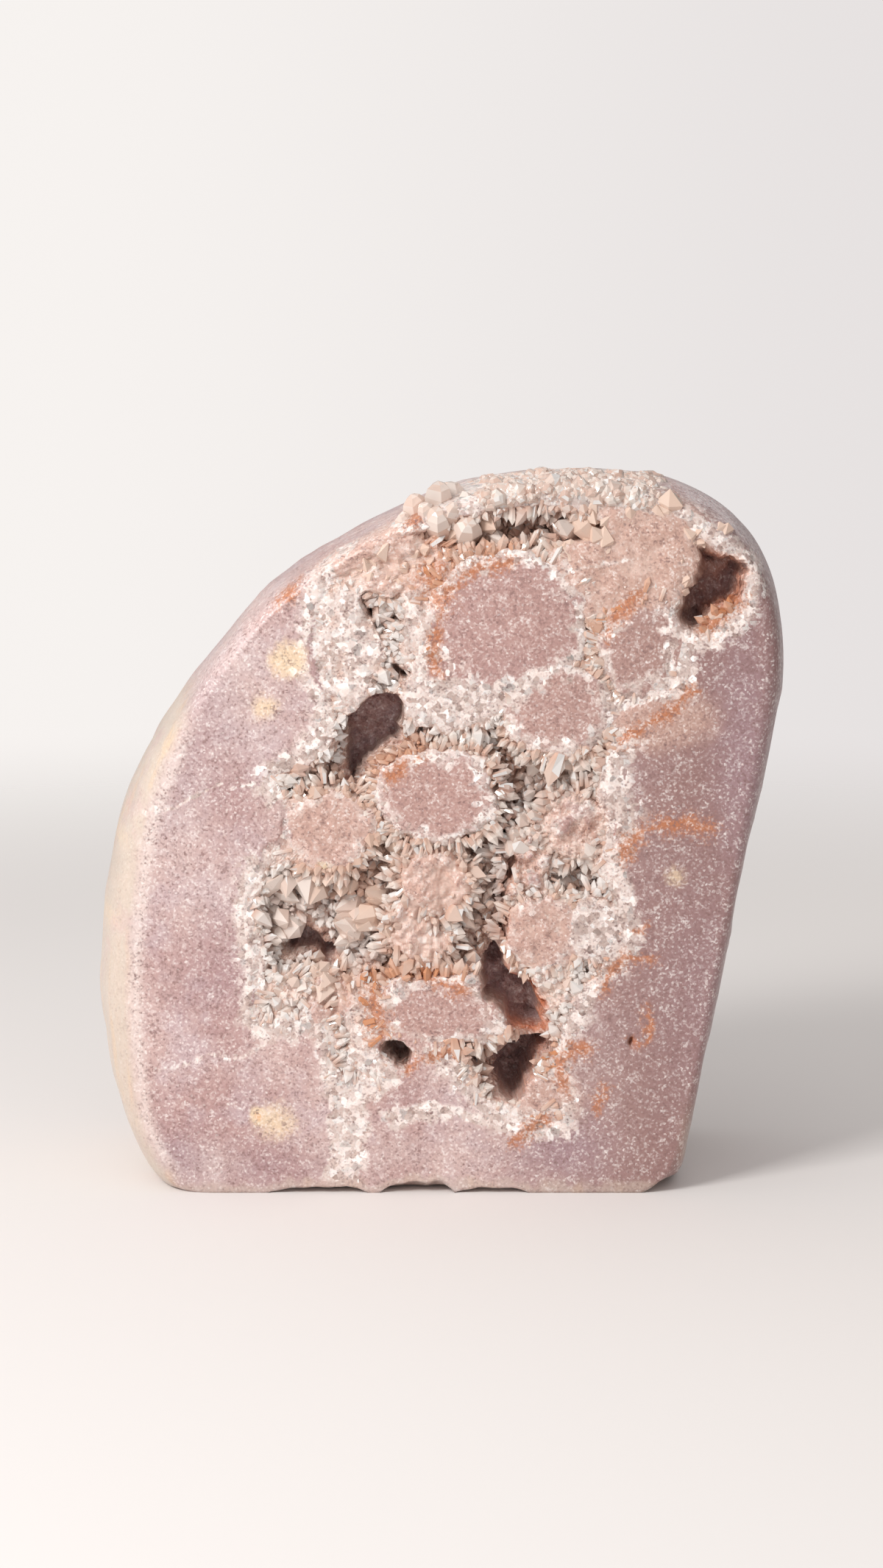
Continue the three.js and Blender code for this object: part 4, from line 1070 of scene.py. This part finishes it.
def grow_points(name, grown, marks, material, chance, blunt=False, top=None):
    """A piece of crust: its crystals, with their marks, carried by the stone. Grown holds their
    roots, directions, radii and lengths."""
    piece = quartz_points(name, *grown, chance, blunt, top)
    each = len(piece.data.vertices) // len(grown[0])
    carry_marks(piece, {label: np.repeat(values, each) for label, values in marks.items()})
    piece.data.materials.append(material)
    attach(piece, "root")
    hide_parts("crystal_crust")


tone = chance.uniform(0.2, 1.0, len(x)) - 0.5 * relief["milk"] - 0.7 * is_fringe
near_peach = 0.8 * relief["peach"] * smooth_step(relief["in_nodule"] / 4 + 1)
in_deep_bed = (1 - relief["milk"]) * smooth_step((relief["in_druse"] - 2) / 3)
peach = near_peach * (1 - 0.6 * is_fringe) + 0.45 * (1 - is_fringe) * in_deep_bed
druse_marks = {
    "rust": np.clip(1.3 * root_marks["rust"], 0, 1),
    "hollow": root_marks["hollow"],
    "peach": np.clip(peach, 0, 1),
    "tone": np.clip(tone + 0.08 * relief["depth"], 0, 1),
    "milky": 0.8 * relief["milk"],
}
druse = (roots, toward, radii, lengths)
grow_points("druse_points_0", druse, druse_marks, milky_quartz, chance, top=top)
crown_count = len(crown[0])
crown_marks = {
    "rust": np.zeros(crown_count),
    "hollow": np.zeros(crown_count),
    "peach": chance.uniform(0.0, 0.5, crown_count) ** 2,
    "tone": chance.uniform(0.3, 0.6, crown_count),
    "milky": np.zeros(crown_count),
}
grow_points("crown_points", crown, crown_marks, milky_quartz, chance, blunt=True)


# The large clear points
# Single crystals of clear quartz, a few millimetres thick, that had room to grow, such as in the left
# bowl and in the trough under the crown. They stand on the bed among the small ones.
# Each cluster has its middle, half sizes, number, least and greatest radius, and direction.
CLEAR_CLUSTERS = {
    "bowl_left": (-27, 43.5, 1.6, 5, 9, 1, 1.7, (0.7, -1, 0)),
    "bowl_right": (-11.5, 43, 3.6, 5, 16, 1.1, 2.2, (-0.5, -1, 0.1)),
    "bowl_under": (-19.5, 33.6, 6, 2, 14, 1, 2, (0.1, -1, 0.5)),
    "bowl_over": (-19, 50.2, 6, 2, 12, 1, 1.8, (0, -1, -0.6)),
    "left_corner": (-25.4, 30.1, 2.6, 2.6, 12, 0.9, 1.6, (-0.1, -1, 0.1)),
    "channel": (-8, 53, 2.4, 4, 8, 0.8, 1.5, (0.2, -1, 0.2)),
    "under_right_nodule": (16.5, 67.6, 8, 1.6, 20, 0.8, 1.5, (0, -1, -0.5)),
    "right_lilac": (12.6, 52.4, 3, 5, 14, 0.9, 1.8, (-0.2, -1, 0.1)),
    "clear_foot": (17, 33.2, 2.6, 2.8, 12, 0.9, 1.6, (-0.1, -1, 0.2)),
    "white_ball": (22.9, 41.3, 3.2, 3.6, 16, 0.8, 1.4, (0.1, -1, 0.1)),
    "trough_left": (4, 102, 3.4, 1.8, 10, 1, 1.8, (0.2, -1, 0.3)),
    "trough_right": (20.5, 99.6, 4, 1.8, 12, 1, 2, (-0.3, -1, 0.4)),
    "right_eye_over": (39, 101.4, 3.4, 1.4, 16, 0.8, 1.3, (-0.1, -1, -0.2)),
    "right_eye_under": (41.8, 90, 3, 1.8, 9, 0.8, 1.4, (-0.3, -1, 0.3)),
    "belt": (-14, 85, 3.2, 7.6, 10, 0.8, 1.5, (0.3, -1, 0.1)),
    "peach_crown": (-7.6, 97, 6.4, 3.2, 22, 0.9, 1.8, (0.2, -1, 0.3)),
    "glassy_crown": (27.6, 104.6, 7, 1.6, 16, 1.2, 2.2, (0, -1, 0.4)),
    "glassy_side": (36, 95, 1.2, 4, 12, 0.8, 1.3, (0.5, -1, 0.1)),
}
# Single points: root, direction, radius and length
SINGLE_POINTS = [
    ((19.2, -16, 100.6), (-0.35, -0.9, 0.6), 1.9, 6), ((-20.6, -16, 50.6), (0.1, -0.9, -1), 2.3, 7),
    ((-24.6, -15, 40.8), (0.6, -1, 0.2), 2, 6), ((-12.4, -15, 43.6), (-0.8, -1, 0.2), 2.1, 6.2),
]
# How far under the bed their roots lie
ROOT_SUNK = 1.6

chance = np.random.default_rng(41)
parts = []
for middle_x, middle_z, across_half, up_half, number, least, greatest, way in CLEAR_CLUSTERS.values():
    turn, share = chance.uniform(0, 2 * math.pi, number), np.sqrt(chance.uniform(0, 1, number))
    x = middle_x + across_half * share * np.cos(turn)
    z = middle_z + up_half * share * np.sin(turn)
    relief = front_relief(x, z)
    toward = unit(np.array(way) / np.linalg.norm(way) + chance.normal(0, 0.33, (number, 3)))
    toward[:, 1] = np.minimum(toward[:, 1], -0.15)
    radii = chance.uniform(least, greatest, number)
    depth = np.minimum(relief["depth"], 3.5) + ROOT_SUNK
    lengths = (depth - chance.uniform(-0.1, 0.7, number)) / -toward[:, 1]
    lengths = np.clip(lengths, 1.5, 3.4 * radii)
    roots = np.stack([x, front_height(x, z) + depth, z], 1)
    tips = roots + toward * lengths[:, None]
    keep = front_relief(tips[:, 0], tips[:, 2])["in_dark"] < 0.3
    parts.append([values[keep] for values in (roots, toward, radii, lengths, relief["peach"])])
single = [np.array(column, float) for column in zip(*SINGLE_POINTS)]
parts.append((*single, np.zeros(len(SINGLE_POINTS))))
*clear, peach = (np.concatenate(rows) for rows in zip(*parts))

clear_quartz = bpy.data.materials.new("clear_quartz")
tree, shader = surface_of(clear_quartz)
# Each face is painted lit or shaded at random, as painted reflections and shade in clear quartz
BRIGHT_FACE = (1.0, 0.91, 0.85, 1)
SHADED_FACE = (0.86, 0.67, 0.58, 1)
PEACH_FACE = (0.90, 0.66, 0.53, 1)
ROOT_ROSE = (0.80, 0.56, 0.46, 1)
colour = mixed(tree, ranged(tree, mark(tree, "painted_face_light"), 0.0, 1.0), BRIGHT_FACE, SHADED_FACE)
colour = mixed(tree, mark(tree, "peach"), colour, PEACH_FACE)
colour = mixed(tree, ranged(tree, mark(tree, "rise"), 0.0, 0.9, 0.7, 0.0), colour, ROOT_ROSE)
put(shader, Base_Color=colour, Roughness=0.05, IOR=1.54, Transmission_Weight=0.2)
grow_points("clear_points", clear, {"peach": 0.8 * peach}, clear_quartz, chance)


# The knot
# A bunch of blunt clear crystals, grown together, that breaks through the outline at the top, left
# of the crown. Its roots lie in the stone. For each: root, direction, radius and length.
KNOT = [
    ((-0.6, -14.5, 102.8), (0, -0.3, 1), 2.5, 6.4), ((2.6, -14.5, 101.8), (0.3, -0.5, 1), 2.4, 6),
    ((-3.2, -14, 101.8), (-0.25, -0.4, 1), 2.2, 5.8), ((5.6, -15, 101.2), (0.5, -0.7, 0.9), 1.9, 4.8),
    ((-0.4, -17, 101.2), (-0.1, -0.9, 1), 2.1, 5), ((3.2, -17, 100.2), (0.2, -0.9, 0.8), 2, 4.6),
    ((0.8, -12.5, 102.4), (0.1, 0.1, 1), 2.2, 6.4), ((-1.8, -16.5, 102.2), (-0.3, -0.7, 1), 1.7, 4.6),
    ((1.2, -17, 102.4), (0.2, -0.8, 1), 1.6, 4.4), ((-4.8, -15, 100.6), (-0.4, -0.7, 1), 1.7, 4.6),
]
KNOT_PEACH = 0.15

knot = [np.array(column, float) for column in zip(*KNOT)]
knot_marks = {"peach": np.full(len(KNOT), KNOT_PEACH)}
grow_points("knot_points", knot, knot_marks, clear_quartz, chance, blunt=True)
